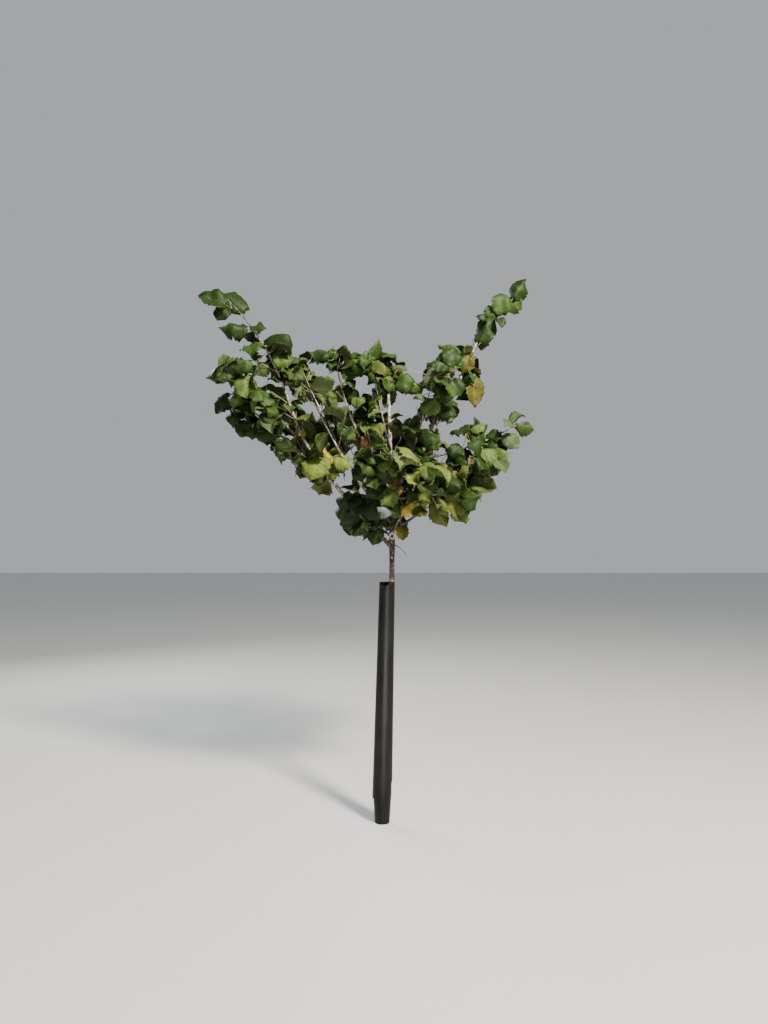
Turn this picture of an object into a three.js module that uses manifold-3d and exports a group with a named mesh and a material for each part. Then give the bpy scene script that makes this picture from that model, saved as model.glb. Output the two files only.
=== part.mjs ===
// A young hazel tree, rooted in the ground, with a rolled plastic guard in two lengths round its trunk.
// Units are millimetres and +Z is up. The origin is the middle of the flat cut under the trunk, at ground level.
// The viewer stands towards -Y, so +X is the tree's right hand side and +Y is its back.
import * as THREE from "three";
import { mergeVertices } from "three/addons/utils/BufferGeometryUtils.js";
import Module from "manifold-3d";

const wasm = await Module();
wasm.setup();

// Trunk: it leans to the right, straightens at the fork and runs on as a leader inside the crown.
const TRUNK_HEIGHT = 2200;
const TRUNK_LEAN = 50;
const TRUNK_LEAN_WAVE = 2800;
const TRUNK_SWAY = 10;
const TRUNK_SWAY_WAVE = 1300;
const TRUNK_FOOT_RADIUS = 21;
const TRUNK_TIP_RADIUS = 8;
const ROOT_FLARE = 12;
const ROOT_FLARE_HEIGHT = 45;
const SWELLING = 3;
const SWELLING_HEIGHT = 1430;
const SWELLING_LENGTH = 70;
const TRUNK_SIDES = 10;
const TRUNK_RINGS = [0, 25, 60, 120, 420, 820, 1233, 1360, 1430, 1500, 1640, 1820, 2010, TRUNK_HEIGHT];

// The trunk is modelled in four stretches: its flared foot, two inside the guard and past its mouth, and the one
// that carries the crown. Each ends at the ring where the next begins.
const TRUNK_STRETCHES = { trunk_foot: [0, 120], trunk_lower: [120, 820], trunk_middle: [820, 1360], trunk_upper: [1360, TRUNK_HEIGHT] };

// Guard: black sheet rolled up with an overlap. The upper length is pushed over the lower one.
const SHEET = 1.5;
const ROLL_GAP = 0.5;
const ROLL_START = -140;
const ROLL_OVERLAP = 45;
const ROLL_STEP = 15;
const GUARD_TOP = 1223;
const GUARD_TOP_RADIUS = 41;
const FLATS = 0.32;
const GUARD_EDGE = 126;
const GUARD_EDGE_RADIUS = 52;
const GUARD_CORNER_RISE = 86;
const GUARD_CORNER_FROM = -95;
const GUARD_CORNER_TO = 0;
const GUARD_FOOT_RADIUS = 39;
const GUARD_FOOT_BEND = 140;
const GUARD_FOOT_TOP = 300;
const GUARD_HOLE_HEIGHT = 619;
const GUARD_HOLE_RADIUS = 4;

// Solids that touch keep this gap.
const GAP = 0.3;

// Edges that fusing and cutting leave shorter than this are closed up.
const SLIVER = 0.05;
const ROUNDINGS = [1e-3, 1e-4];

// Limbs: each leaves its parent at a height on the trunk, or at a share of a limb's length, and ends at a tip.
// sag is how far its middle hangs below the straight line, radius is its foot's, bare is the share of its
// length with no leaves, and reach is how far its side twigs go.
const LIMBS = [
  { name: "left_long", from: "trunk", at: 1404, tip: [-820, -200, 2690], sag: 120, radius: 12, bare: 0.5, reach: 150 },
  { name: "left_out", from: "left_long", at: 0.4, tip: [-785, -130, 2340], sag: -10, radius: 6.5, bare: 0.25, reach: 150 },
  { name: "left_low", from: "left_long", at: 0.33, tip: [-770, 40, 2200], sag: 0, radius: 6.5, bare: 0.2, reach: 180 },
  { name: "left_under", from: "left_long", at: 0.22, tip: [-450, -190, 1915], sag: -10, radius: 6, bare: 0.25, reach: 140 },
  { name: "left_foot", from: "trunk", at: 1455, tip: [-150, 60, 1640], sag: 10, radius: 6, bare: 0.3, reach: 110 },
  { name: "left_inner", from: "trunk", at: 1590, tip: [-240, -240, 2400], sag: 60, radius: 9, bare: 0.36, reach: 150 },
  { name: "left_front", from: "trunk", at: 1530, tip: [-350, -380, 2150], sag: 60, radius: 8, bare: 0.32, reach: 160 },
  { name: "left_back", from: "trunk", at: 1560, tip: [-470, 240, 2440], sag: 90, radius: 9, bare: 0.36, reach: 170 },
  { name: "right_long", from: "trunk", at: 1545, tip: [770, 140, 2785], sag: -110, radius: 11, bare: 0.48, reach: 140 },
  { name: "right_out", from: "right_long", at: 0.2, tip: [745, 50, 2065], sag: 30, radius: 7, bare: 0.36, reach: 140 },
  { name: "right_low", from: "trunk", at: 1490, tip: [520, -160, 1860], sag: 30, radius: 8, bare: 0.32, reach: 170 },
  { name: "right_inner", from: "right_long", at: 0.3, tip: [350, 80, 2470], sag: 20, radius: 6.5, bare: 0.25, reach: 150 },
  { name: "right_front", from: "trunk", at: 1640, tip: [240, -400, 2200], sag: 60, radius: 8, bare: 0.32, reach: 170 },
  { name: "front_low", from: "trunk", at: 1480, tip: [190, -380, 1790], sag: 20, radius: 7, bare: 0.3, reach: 150 },
  { name: "front_mid", from: "trunk", at: 1580, tip: [-70, -480, 1950], sag: 40, radius: 8, bare: 0.32, reach: 170 },
  { name: "front_top", from: "trunk", at: 1900, tip: [-60, -220, 2350], sag: 20, radius: 6, bare: 0.25, reach: 140 },
  { name: "back_left", from: "trunk", at: 1620, tip: [-290, 500, 2200], sag: 60, radius: 9, bare: 0.34, reach: 180 },
  { name: "back_low", from: "trunk", at: 1470, tip: [60, 460, 1790], sag: 30, radius: 8, bare: 0.32, reach: 170 },
  { name: "back_right", from: "trunk", at: 1660, tip: [330, 480, 2230], sag: 60, radius: 9, bare: 0.34, reach: 180 },
  { name: "back_mid", from: "trunk", at: 1760, tip: [20, 520, 2110], sag: 40, radius: 7, bare: 0.32, reach: 160 },
  { name: "right_back", from: "right_long", at: 0.13, tip: [560, 350, 2020], sag: 30, radius: 7, bare: 0.34, reach: 170 },
  { name: "low_twig", from: "trunk", at: 1418, tip: [125, -25, 1362], sag: -12, radius: 4, bare: 1, reach: 0 },
  { name: "leader", from: "trunk", at: TRUNK_HEIGHT, tip: [24, 7, 2380], sag: 0, radius: 7, bare: 0, reach: 160 },
];
const LIMB_TIP_RADIUS = 3;
const LIMB_SIDES = 6;
const STEM_SIDES = 4;
const LIMB_STEP = 160;

// The middle corner of a limb's end face stands aside by these shares of its radius, so that the limb's own
// middle, which is the origin under the trunk, lies inside one of the flat triangles there.
const END_CORNER_SIDE = 0.5;
const END_CORNER_ACROSS = 0.16;

// Foliage: leaf joints stand this far apart on a stem, with side twigs from most of them.
const JOINT_GAP = 78;
const TWIG_ANGLE = 52;
const TWIG_LIFT = 0.25;
const TWIG_RADIUS = 3.6;
const TWIG_TIP_RADIUS = 2.8;
const TWIG_TIP_JOINT = 0.97;
const TWIG_SIDES = 3;
const SPIRAL = 137.5;
const LEAF_LENGTH = 112;
const LEAF_SPREAD = 28;
const LEAF_ROUNDNESS = 0.5;
const LEAF_STALK = 0.2;
const LEAF_THICKNESS = 3.4;
const LEAF_APART = 66;
const LEAF_THROWS = 6;
const LIMB_CLEARANCE = 6;
const SPACE_MARGIN = 150;
const LOWEST_LEAF = 1400;
const LEAF_GAP = 2;

// A repeatable throw of dice, so that the tree grows the same way each time.
class Dice {
  constructor(seed) {
    this.state = (seed * 2654435761) >>> 0;
    this.throw();
    this.throw();
  }
  throw() {
    this.state = (Math.imul(this.state, 1664525) + 1013904223) >>> 0;
    return this.state / 4294967296;
  }
  between(low, high) {
    return low + (high - low) * this.throw();
  }
}

const vector = (x, y, z) => new THREE.Vector3(x, y, z);
const radians = THREE.MathUtils.degToRad;
const UP = vector(0, 0, 1);

function trunkPoint(z) {
  const lean = TRUNK_LEAN * Math.sin((Math.PI * z) / TRUNK_LEAN_WAVE);
  const sway = -TRUNK_SWAY * Math.sin((Math.PI * z) / TRUNK_SWAY_WAVE);
  return vector(lean, sway, z);
}

function trunkRadius(z) {
  const taper = THREE.MathUtils.lerp(TRUNK_FOOT_RADIUS, TRUNK_TIP_RADIUS, z / TRUNK_HEIGHT);
  const flare = ROOT_FLARE * Math.exp(-z / ROOT_FLARE_HEIGHT);
  const swelling = SWELLING * Math.exp(-(((z - SWELLING_HEIGHT) / SWELLING_LENGTH) ** 2));
  return taper + flare + swelling;
}

// A limb's line is a row of points along a bow from its foot, on the parent's line, to its tip.
function limbRow(limb, rows) {
  const foot = limb.from === "trunk" ? trunkPoint(limb.at) : pointOn(rows.get(limb.from), limb.at);
  const tip = vector(...limb.tip);
  const middle = foot.clone().lerp(tip, 0.5).addScaledVector(UP, -2 * limb.sag);
  const bow = new THREE.QuadraticBezierCurve3(foot, middle, tip);
  return bow.getPoints(Math.max(2, Math.round(foot.distanceTo(tip) / LIMB_STEP)));
}

// The point at a share of a row, and the row's direction there.
function pointOn(row, share) {
  const place = share * (row.length - 1);
  const i = Math.min(Math.floor(place), row.length - 2);
  return row[i].clone().lerp(row[i + 1], place - i);
}

function headingOn(row, share) {
  const i = Math.min(Math.floor(share * (row.length - 1)), row.length - 2);
  return row[i + 1].clone().sub(row[i]).normalize();
}

// The step of a limb's row at which its bare bough ends and its leafy stem begins.
const leafyFrom = (limb, row) => Math.max(Math.sign(limb.bare), Math.round(limb.bare * (row.length - 1)));

const limbRadius = (limb, share) => THREE.MathUtils.lerp(limb.radius, LIMB_TIP_RADIUS, share);

// A geometry without normals and texture coordinates, its shared corners merged.
function bare(geometry) {
  geometry.deleteAttribute("normal");
  geometry.deleteAttribute("uv");
  return mergeVertices(geometry, 1e-4);
}

// Moves every corner of a geometry to where place says, given the corner's own x, y and z.
function reshape(geometry, place) {
  const corners = geometry.attributes.position;
  for (let i = 0; i < corners.count; i += 1) {
    const to = place(corners.getX(i), corners.getY(i), corners.getZ(i));
    corners.setXYZ(i, to.x, to.y, to.z);
  }
  return bare(geometry);
}

function solidOf(geometry) {
  return new wasm.Manifold(
    new wasm.Mesh({
      numProp: 3,
      vertProperties: new Float32Array(geometry.attributes.position.array),
      triVerts: new Uint32Array(geometry.index.array),
    }),
  );
}

function geometryOf(solid) {
  const { numProp, numVert, vertProperties, triVerts } = solid.getMesh();
  const corners = new Float32Array(numVert * 3);
  for (let i = 0; i < numVert; i += 1) corners.set(vertProperties.subarray(i * numProp, i * numProp + 3), i * 3);
  return new THREE.BufferGeometry()
    .setAttribute("position", new THREE.BufferAttribute(corners, 3))
    .setIndex(new THREE.BufferAttribute(new Uint32Array(triVerts), 1));
}

// A tapering limb: a cylinder whose rings are set along a row of centres, each with its own radius.
// The row may run on past either end, to points that only turn the end rings.
function limbSolid(centres, radii, sides, before = centres[0], after = centres[centres.length - 1]) {
  const row = [before, ...centres, after];
  const rings = centres.map((centre, i) => {
    const along = row[i + 2].clone().sub(row[i]).normalize();
    const side = Math.abs(along.z) > 0.9 ? vector(1, 0, 0) : UP.clone();
    side.addScaledVector(along, -side.dot(along)).normalize();
    return { centre, side, across: along.clone().cross(side), radius: radii[i] };
  });
  for (let i = 1; i < rings.length; i += 1) {
    const along = rings[i].side.clone().cross(rings[i].across);
    rings[i].side.copy(rings[i - 1].side).addScaledVector(along, -rings[i - 1].side.dot(along)).normalize();
    rings[i].across.copy(along).cross(rings[i].side);
  }
  const steps = centres.length - 1;
  return solidOf(
    reshape(new THREE.CylinderGeometry(1, 1, 1, sides, steps), (x, y, z) => {
      const ring = rings[Math.round((y + 0.5) * steps)];
      const middle = Math.hypot(x, z) < 0.5;
      return ring.centre
        .clone()
        .addScaledVector(ring.side, (middle ? END_CORNER_SIDE : z) * ring.radius)
        .addScaledVector(ring.across, (middle ? END_CORNER_ACROSS : x) * ring.radius);
    }),
  );
}

// The trunk's row runs on straight down from its second ring, so that its foot is cut level.
function trunkSolid(extra = 0) {
  const centres = TRUNK_RINGS.map(trunkPoint);
  const radii = TRUNK_RINGS.map((z) => trunkRadius(z) + extra);
  const under = centres[1].clone().setZ(-TRUNK_RINGS[1]);
  return limbSolid(centres, radii, TRUNK_SIDES, under);
}

// One stretch of the trunk, which starts clear of the stretch below it.
function trunkStretch([low, high]) {
  const first = TRUNK_RINGS.indexOf(low);
  const last = TRUNK_RINGS.indexOf(high);
  const rings = TRUNK_RINGS.map(trunkPoint);
  const below = rings[first - 1] ?? rings[1].clone().setZ(-TRUNK_RINGS[1]);
  const centres = rings.slice(first, last + 1).map((centre) => centre.clone());
  if (first > 0) centres[0].addScaledVector(rings[first + 1].clone().sub(below).normalize(), GAP);
  const radii = TRUNK_RINGS.slice(first, last + 1).map(trunkRadius);
  return limbSolid(centres, radii, TRUNK_SIDES, below, rings[last + 1]);
}

function boughSolid(limb, row, extra = 0) {
  const to = leafyFrom(limb, row);
  const centres = row.slice(0, to + 1);
  const radii = centres.map((_, i) => limbRadius(limb, i / (row.length - 1)) + extra);
  return limbSolid(centres, radii, LIMB_SIDES, row[0], row[to + 1]);
}

// The leafy end of a limb starts clear of its bough, or of the trunk's tip.
function stemSolid(limb, row) {
  const from = leafyFrom(limb, row);
  const before = row[Math.max(from - 1, 0)];
  const along = row[from + 1].clone().sub(before).normalize();
  const centres = row.slice(from).map((centre) => centre.clone());
  const radii = centres.map((_, i) => limbRadius(limb, (from + i) / (row.length - 1)));
  centres[0].addScaledVector(along, GAP);
  return limbSolid(centres, radii, STEM_SIDES, before);
}

// Guard: where the middle of the upper length stands, and how wide it is, at a height.
const guardShare = (z) => (z - GUARD_EDGE) / (GUARD_TOP - GUARD_EDGE);
const guardRadius = (z) => THREE.MathUtils.lerp(GUARD_EDGE_RADIUS, GUARD_TOP_RADIUS, guardShare(z));
const rollDepth = SHEET + ROLL_GAP;

function guardMiddle(z) {
  const trunk = trunkPoint(GUARD_TOP);
  const wall = GUARD_TOP_RADIUS - 2 * SHEET - ROLL_GAP;
  const leaning = trunk.x + trunkRadius(GUARD_TOP) + GAP - FLATS - wall;
  return vector(leaning * Math.max(guardShare(z), 0), trunk.y * Math.max(guardShare(z), 0), z);
}

// A sheet rolled round an upright line: a flat box bent so that its width runs round and its depth runs outwards.
function rolledSheet(rings, lowerEdge) {
  const turn = 360 + ROLL_OVERLAP;
  const box = new THREE.BoxGeometry(1, 1, 1, turn / ROLL_STEP, rings.length - 1, 1);
  return solidOf(
    reshape(box, (x, y, z) => {
      const round = x + 0.5;
      const angle = ROLL_START + round * turn;
      const ring = rings[Math.round((y + 0.5) * (rings.length - 1))];
      const height = y < -0.49 ? lowerEdge(angle) : ring.middle.z;
      const outside = ring.radius - (1 - round) * rollDepth * (turn / 360);
      const radius = outside - (z < 0 ? SHEET : 0);
      return vector(
        ring.middle.x + radius * Math.cos(radians(angle)),
        ring.middle.y + radius * Math.sin(radians(angle)),
        height,
      );
    }),
  );
}

function guardUpper() {
  const rings = [GUARD_EDGE, GUARD_TOP].map((z) => ({ middle: guardMiddle(z), radius: guardRadius(z) }));
  const corner = (angle) =>
    GUARD_CORNER_RISE * THREE.MathUtils.smoothstep(angle, GUARD_CORNER_FROM, GUARD_CORNER_TO) *
    (1 - THREE.MathUtils.smoothstep(angle, GUARD_CORNER_TO, GUARD_CORNER_TO + 95));
  const sleeve = rolledSheet(rings, (angle) => GUARD_EDGE + corner(angle));
  const middle = guardMiddle(GUARD_HOLE_HEIGHT);
  const punch = new THREE.CylinderGeometry(GUARD_HOLE_RADIUS, GUARD_HOLE_RADIUS, 20, 8).translate(
    middle.x,
    middle.y - guardRadius(GUARD_HOLE_HEIGHT),
    GUARD_HOLE_HEIGHT,
  );
  return sleeve.subtract(solidOf(bare(punch)));
}

function guardLower() {
  const fitted = (z) => ({ middle: guardMiddle(z), radius: guardRadius(z) - 2 * SHEET - ROLL_GAP - GAP });
  const foot = { middle: vector(0, 0, 0), radius: GUARD_FOOT_RADIUS };
  return rolledSheet([foot, fitted(GUARD_FOOT_BEND), fitted(GUARD_FOOT_TOP)], () => 0);
}

// A leaf's own frame: along its midrib, across it and out of its upper face.
function leafFrame(along, facing, roll) {
  const direction = along.clone().normalize();
  const upper = facing.clone().addScaledVector(direction, -facing.dot(direction)).normalize();
  upper.applyAxisAngle(direction, roll);
  return { direction, upper, across: direction.clone().cross(upper) };
}

// A point of a leaf's bent blade: share runs from its base to its tip, and side is its width there.
function leafPoint(leaf, share, side, lift) {
  const bend = leaf.arch * Math.max(share, 0);
  const forward = share < 0 ? leaf.length * share : (leaf.length * Math.sin(bend)) / leaf.arch;
  const down = (leaf.length * (Math.cos(bend) - 1)) / leaf.arch;
  const local = leaf.upper.clone().multiplyScalar(Math.cos(bend)).addScaledVector(leaf.direction, Math.sin(bend));
  return leaf.base
    .clone()
    .addScaledVector(leaf.direction, forward)
    .addScaledVector(leaf.upper, down)
    .addScaledVector(leaf.across, side * leaf.length * Math.cos(leaf.fold))
    .addScaledVector(local, Math.abs(side) * leaf.length * Math.sin(leaf.fold) + lift);
}

// A leaf's solid is a six-cornered blade, thickest at its middle and pointed where it is sunk in the twig.
function leafSolid(leaf) {
  return solidOf(
    reshape(new THREE.SphereGeometry(1, 6, 2), (x, y, z) => {
      if (Math.abs(y) > 0.5) return leafPoint(leaf, 0.45, 0, (y * LEAF_THICKNESS) / 2);
      const share = x < -0.9 ? -LEAF_STALK : 0.5 + 0.5 * x;
      return leafPoint(leaf, share, LEAF_ROUNDNESS * z, 0);
    }),
  );
}

// One leaf at a joint: its blade starts sideways and out, and hangs. It is thrown again while its middle is
// too near the middle of an earlier leaf, and left out when no throw clears them.
function growLeaf(dice, joint, heading, side, size, middles) {
  for (let i = 0; i < LEAF_THROWS; i += 1) {
    const droop = dice.between(0.15, 0.8);
    const forward = dice.between(0.1, 0.6);
    const along = side.clone().addScaledVector(heading, forward).addScaledVector(UP, -droop);
    const facing = UP.clone().addScaledVector(side, 0.7);
    const roll = radians(dice.between(-45, 45));
    const length = (LEAF_LENGTH + LEAF_SPREAD * dice.between(-1, 1)) * size;
    const arch = radians(dice.between(20, 80));
    const fold = radians(dice.between(-32, 26));
    const frame = leafFrame(along, facing, roll);
    const base = joint.clone().addScaledVector(frame.direction, LEAF_STALK * length);
    const leaf = { base, length, arch, fold, ...frame };
    const middle = leafPoint(leaf, 0.5, 0, 0);
    if (middles.some((other) => other.distanceTo(middle) < LEAF_APART)) continue;
    middles.push(middle);
    return [leaf];
  }
  return [];
}

// The side of a stem at an angle round it.
function sideOf(heading, angle) {
  const level = Math.abs(heading.z) > 0.95 ? vector(1, 0, 0) : UP.clone();
  const first = level.addScaledVector(heading, -level.dot(heading)).normalize();
  return first.applyAxisAngle(heading, radians(angle));
}

// One side twig with its leaves, the last of them at its tip.
function growTwig(dice, joint, heading, side, length, middles) {
  const cosine = Math.cos(radians(TWIG_ANGLE));
  const sine = Math.sin(radians(TWIG_ANGLE));
  const out = side.clone().multiplyScalar(sine).addScaledVector(heading, cosine);
  out.addScaledVector(UP, TWIG_LIFT).normalize();
  const row = [joint, joint.clone().addScaledVector(out, length)];
  const count = Math.max(2, Math.round(length / JOINT_GAP));
  const start = dice.between(0, 360);
  const leaves = [];
  for (let i = 1; i <= count; i += 1) {
    const turned = sideOf(out, start + 180 * i + dice.between(-35, 35));
    const place = pointOn(row, (TWIG_TIP_JOINT * i) / count);
    leaves.push(...growLeaf(dice, place, out, turned, i === count ? 1 : 0.92, middles));
  }
  return { row, leaves };
}

// A limb's foliage: a stem that runs on from its bough, side twigs by turns round it, and leaves on both.
function growFoliage(limb, row, seed, middles) {
  const dice = new Dice(seed);
  const bare = leafyFrom(limb, row) / (row.length - 1);
  const length = row[0].distanceTo(row[row.length - 1]) * (1 - bare);
  const count = Math.max(3, Math.round(length / JOINT_GAP));
  const start = dice.between(0, 360);
  const twigs = [];
  const leaves = [];
  for (let i = 0; i < count; i += 1) {
    const share = (i + 0.6) / count;
    const joint = pointOn(row, bare + (1 - bare) * share);
    const heading = headingOn(row, bare + (1 - bare) * share);
    const angle = start + SPIRAL * i;
    const reach = limb.reach * (1 - 0.55 * share) * dice.between(0.75, 1.15);
    leaves.push(...growLeaf(dice, joint, heading, sideOf(heading, angle + 180), 0.95, middles));
    if (share < 0.85) twigs.push(growTwig(dice, joint, heading, sideOf(heading, angle), reach, middles));
  }
  const heading = headingOn(row, 1);
  for (let i = 0; i < 3; i += 1) {
    leaves.push(...growLeaf(dice, pointOn(row, 0.99), heading, sideOf(heading, start + 120 * i), 1, middles));
  }
  return { twigs, leaves };
}

// Every corner and the middle of a leaf, to test where it reaches.
const leafProbes = (leaf) => [
  [0, 0],
  [0.25, 0.42],
  [0.25, -0.42],
  [0.5, 0],
  [0.75, 0.42],
  [0.75, -0.42],
  [1, 0],
].map(([share, side]) => leafPoint(leaf, share, side, 0));

// The shortest way from a point to a row of points joined by straight lines.
function wayTo(point, row) {
  const nearest = vector();
  return Math.min(
    ...row.slice(1).map((end, i) => {
      new THREE.Line3(row[i], end).closestPointToPoint(point, true, nearest);
      return nearest.distanceTo(point);
    }),
  );
}

// A leaf stays off the trunk and the boughs, above the guard, and inside the space round its own limb.
function leafFits(leaf, limb, row, woods) {
  const probes = leafProbes(leaf);
  const space = limb.reach + SPACE_MARGIN;
  if (probes.some((probe) => wayTo(probe, row) > space || probe.z < LOWEST_LEAF)) return false;
  return !woods.some((wood) => probes.some((probe) => wayTo(probe, wood.row) < wood.radius + LIMB_CLEARANCE));
}

// The largest single body of a solid, without hollows that fusing sealed, loose scraps and slivers.
function largest(solid) {
  return solid.decompose().reduce((best, body) => (body.volume() > best.volume() ? body : best)).simplify(SLIVER);
}

// Whether a solid's faces still close up, two to each edge, with its corners rounded to a step.
function closesAt(solid, step) {
  const { numProp, vertProperties, triVerts } = solid.getMesh();
  const rounded = (corner) => vertProperties.slice(corner * numProp, corner * numProp + 3).map((v) => Math.round(v / step));
  const corners = Array.from(triVerts, (corner) => rounded(corner).join());
  const uses = new Map();
  for (let i = 0; i < corners.length; i += 3) {
    const face = corners.slice(i, i + 3);
    if (new Set(face).size < 3) continue;
    for (const k of [0, 1, 2]) {
      const edge = [face[k], face[(k + 1) % 3]].sort().join(" ");
      uses.set(edge, (uses.get(edge) ?? 0) + 1);
    }
  }
  return [...uses.values()].every((count) => count === 2);
}

// A solid with one more piece fused on, or as it was when the two don't make one tight body.
function fuse(solid, piece) {
  const fused = solid.add(piece).simplify(SLIVER);
  return fused.decompose().length === 1 && ROUNDINGS.every((step) => closesAt(fused, step)) ? fused : solid;
}

const nears = (solid, others) => others.some((other) => solid.minGap(other, 2 * LEAF_GAP) < LEAF_GAP);

const boxesMeet = (a, b) => {
  const [p, q] = [a.boundingBox(), b.boundingBox()];
  return [0, 1, 2].every((i) => p.min[i] - LEAF_GAP < q.max[i] && q.min[i] - LEAF_GAP < p.max[i]);
};

// A limb's foliage as one solid: stem, twigs and leaves fused, each twig and leaf clear of all that stands.
function foliageSolid(limb, row, stem, grown, woods, standing) {
  let mass = stem;
  const add = (piece) => {
    const before = mass;
    if (!nears(piece, standing.filter((other) => boxesMeet(piece, other)))) mass = fuse(mass, piece);
    return mass !== before;
  };
  const addLeaves = (leaves) => leaves.filter((leaf) => leafFits(leaf, limb, row, woods)).forEach((leaf) => add(leafSolid(leaf)));
  for (const twig of grown.twigs) {
    if (add(limbSolid(twig.row, [TWIG_RADIUS, TWIG_TIP_RADIUS], TWIG_SIDES))) addLeaves(twig.leaves);
  }
  addLeaves(grown.leaves);
  return mass;
}

const finish = {
  bark: { color: 0x5b4a3d, roughness: 0.85, metalness: 0 },
  foliage: { color: 0x4f6b2a, roughness: 0.6, metalness: 0 },
  guard: { color: 0x1b1c1d, roughness: 0.5, metalness: 0 },
};
const materials = Object.fromEntries(
  Object.entries(finish).map(([name, look]) => [name, new THREE.MeshStandardMaterial(look)]),
);

const tree = new THREE.Group();

function add(name, solid, material) {
  const mesh = new THREE.Mesh(geometryOf(solid), materials[material]);
  mesh.name = name;
  tree.add(mesh);
}

const rows = new Map();
for (const limb of LIMBS) rows.set(limb.name, limbRow(limb, rows));

for (const [name, stretch] of Object.entries(TRUNK_STRETCHES)) add(name, trunkStretch(stretch), "bark");
add("guard_upper", guardUpper(), "guard");
add("guard_lower", guardLower(), "guard");

// Boughs: each is cut back to stand clear of what it grows from and of the boughs made before it.
const solids = [trunkSolid()];
const swollen = [trunkSolid(GAP)];
const woods = [{ row: TRUNK_RINGS.map(trunkPoint), radius: TRUNK_TIP_RADIUS + 4 }];
for (const limb of LIMBS.filter((each) => each.bare > 0)) {
  const row = rows.get(limb.name);
  const bough = largest(swollen.reduce((solid, other) => solid.subtract(other), boughSolid(limb, row)));
  add(`bough_${limb.name}`, bough, "bark");
  solids.push(bough);
  swollen.push(boughSolid(limb, row, GAP));
  woods.push({ row: row.slice(0, leafyFrom(limb, row) + 1), radius: limb.radius });
}

// Foliage: one mass for each limb.
const leafy = LIMBS.filter((limb) => limb.bare < 1);
const stems = new Map(leafy.map((limb) => [limb.name, stemSolid(limb, rows.get(limb.name))]));
const middles = [];
leafy.forEach((limb, i) => {
  const row = rows.get(limb.name);
  const grown = growFoliage(limb, row, i + 1, middles);
  const stem = stems.get(limb.name);
  stems.delete(limb.name);
  const mass = foliageSolid(limb, row, stem, grown, woods, [...solids, ...stems.values()]);
  add(`leaves_${limb.name}`, mass, "foliage");
  solids.push(mass);
});

export default tree;
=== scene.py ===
# A young hazel in a rolled black trunk guard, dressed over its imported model.
# Lengths are in metres and +Z is up. The viewer stands towards -Y.
import math

import bmesh
import bpy
import numpy as np
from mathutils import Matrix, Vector, noise


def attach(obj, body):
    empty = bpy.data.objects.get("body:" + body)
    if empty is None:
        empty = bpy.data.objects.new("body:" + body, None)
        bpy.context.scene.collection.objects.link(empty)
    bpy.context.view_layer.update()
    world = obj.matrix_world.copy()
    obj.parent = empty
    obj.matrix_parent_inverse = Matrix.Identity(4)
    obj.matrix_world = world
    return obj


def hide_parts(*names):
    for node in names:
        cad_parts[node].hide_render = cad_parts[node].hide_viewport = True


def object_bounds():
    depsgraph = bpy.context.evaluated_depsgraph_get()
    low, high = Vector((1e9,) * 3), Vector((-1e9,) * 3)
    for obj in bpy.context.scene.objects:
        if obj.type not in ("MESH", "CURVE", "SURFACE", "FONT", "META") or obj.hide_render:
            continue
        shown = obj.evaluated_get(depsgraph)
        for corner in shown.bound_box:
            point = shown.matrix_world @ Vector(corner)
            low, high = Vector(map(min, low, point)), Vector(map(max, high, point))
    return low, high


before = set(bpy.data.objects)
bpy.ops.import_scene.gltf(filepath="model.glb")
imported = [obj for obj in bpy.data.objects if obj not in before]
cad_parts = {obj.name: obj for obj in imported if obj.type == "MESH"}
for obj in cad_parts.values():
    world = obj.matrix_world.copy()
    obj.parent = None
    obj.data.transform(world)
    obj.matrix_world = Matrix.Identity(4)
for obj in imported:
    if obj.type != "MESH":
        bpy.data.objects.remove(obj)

SOLID_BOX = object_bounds()

# Trunk sizes, as its solids have them.
TRUNK_HEIGHT = 2.200
TRUNK_LEAN = 0.050
TRUNK_LEAN_WAVE = 2.800
TRUNK_SWAY = 0.010
TRUNK_SWAY_WAVE = 1.300
TRUNK_FOOT_RADIUS = 0.021
TRUNK_TIP_RADIUS = 0.008
ROOT_FLARE = 0.012
ROOT_FLARE_HEIGHT = 0.045
SWELLING = 0.003
SWELLING_HEIGHT = 1.430
SWELLING_LENGTH = 0.070

# How finely wood is meshed, and how far the bark's ridges stand out.
TRUNK_SIDES = 72
TRUNK_RING_GAP_IN_GUARD = 0.030
TRUNK_RING_GAP = 0.0035
TRUNK_RELIEF = 0.0009
LIMB_SIDES = 20
LIMB_RING_GAP = 0.007
LIMB_RELIEF = 0.0007
TWIG_SIDES = 7
TWIG_RINGS = 6
STALK_SIDES = 5
STALK_WIDTHS = (1.6, 1, 1, 0.8)

# Between these heights the trunk's bark turns young and pale.
YOUNG_TRUNK = (1.50, 2.0)

# The round scar that a cut shoot left on the front of the trunk, with its rolled edge.
SCAR_HEIGHT = 1.461
SCAR_ANGLE = -88
SCAR_RADIUS = 0.0105
SCAR_EDGE_WIDTH = 0.0045
SCAR_EDGE_RISE = 0.0035
SCAR_DEPTH = 0.0035

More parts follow.
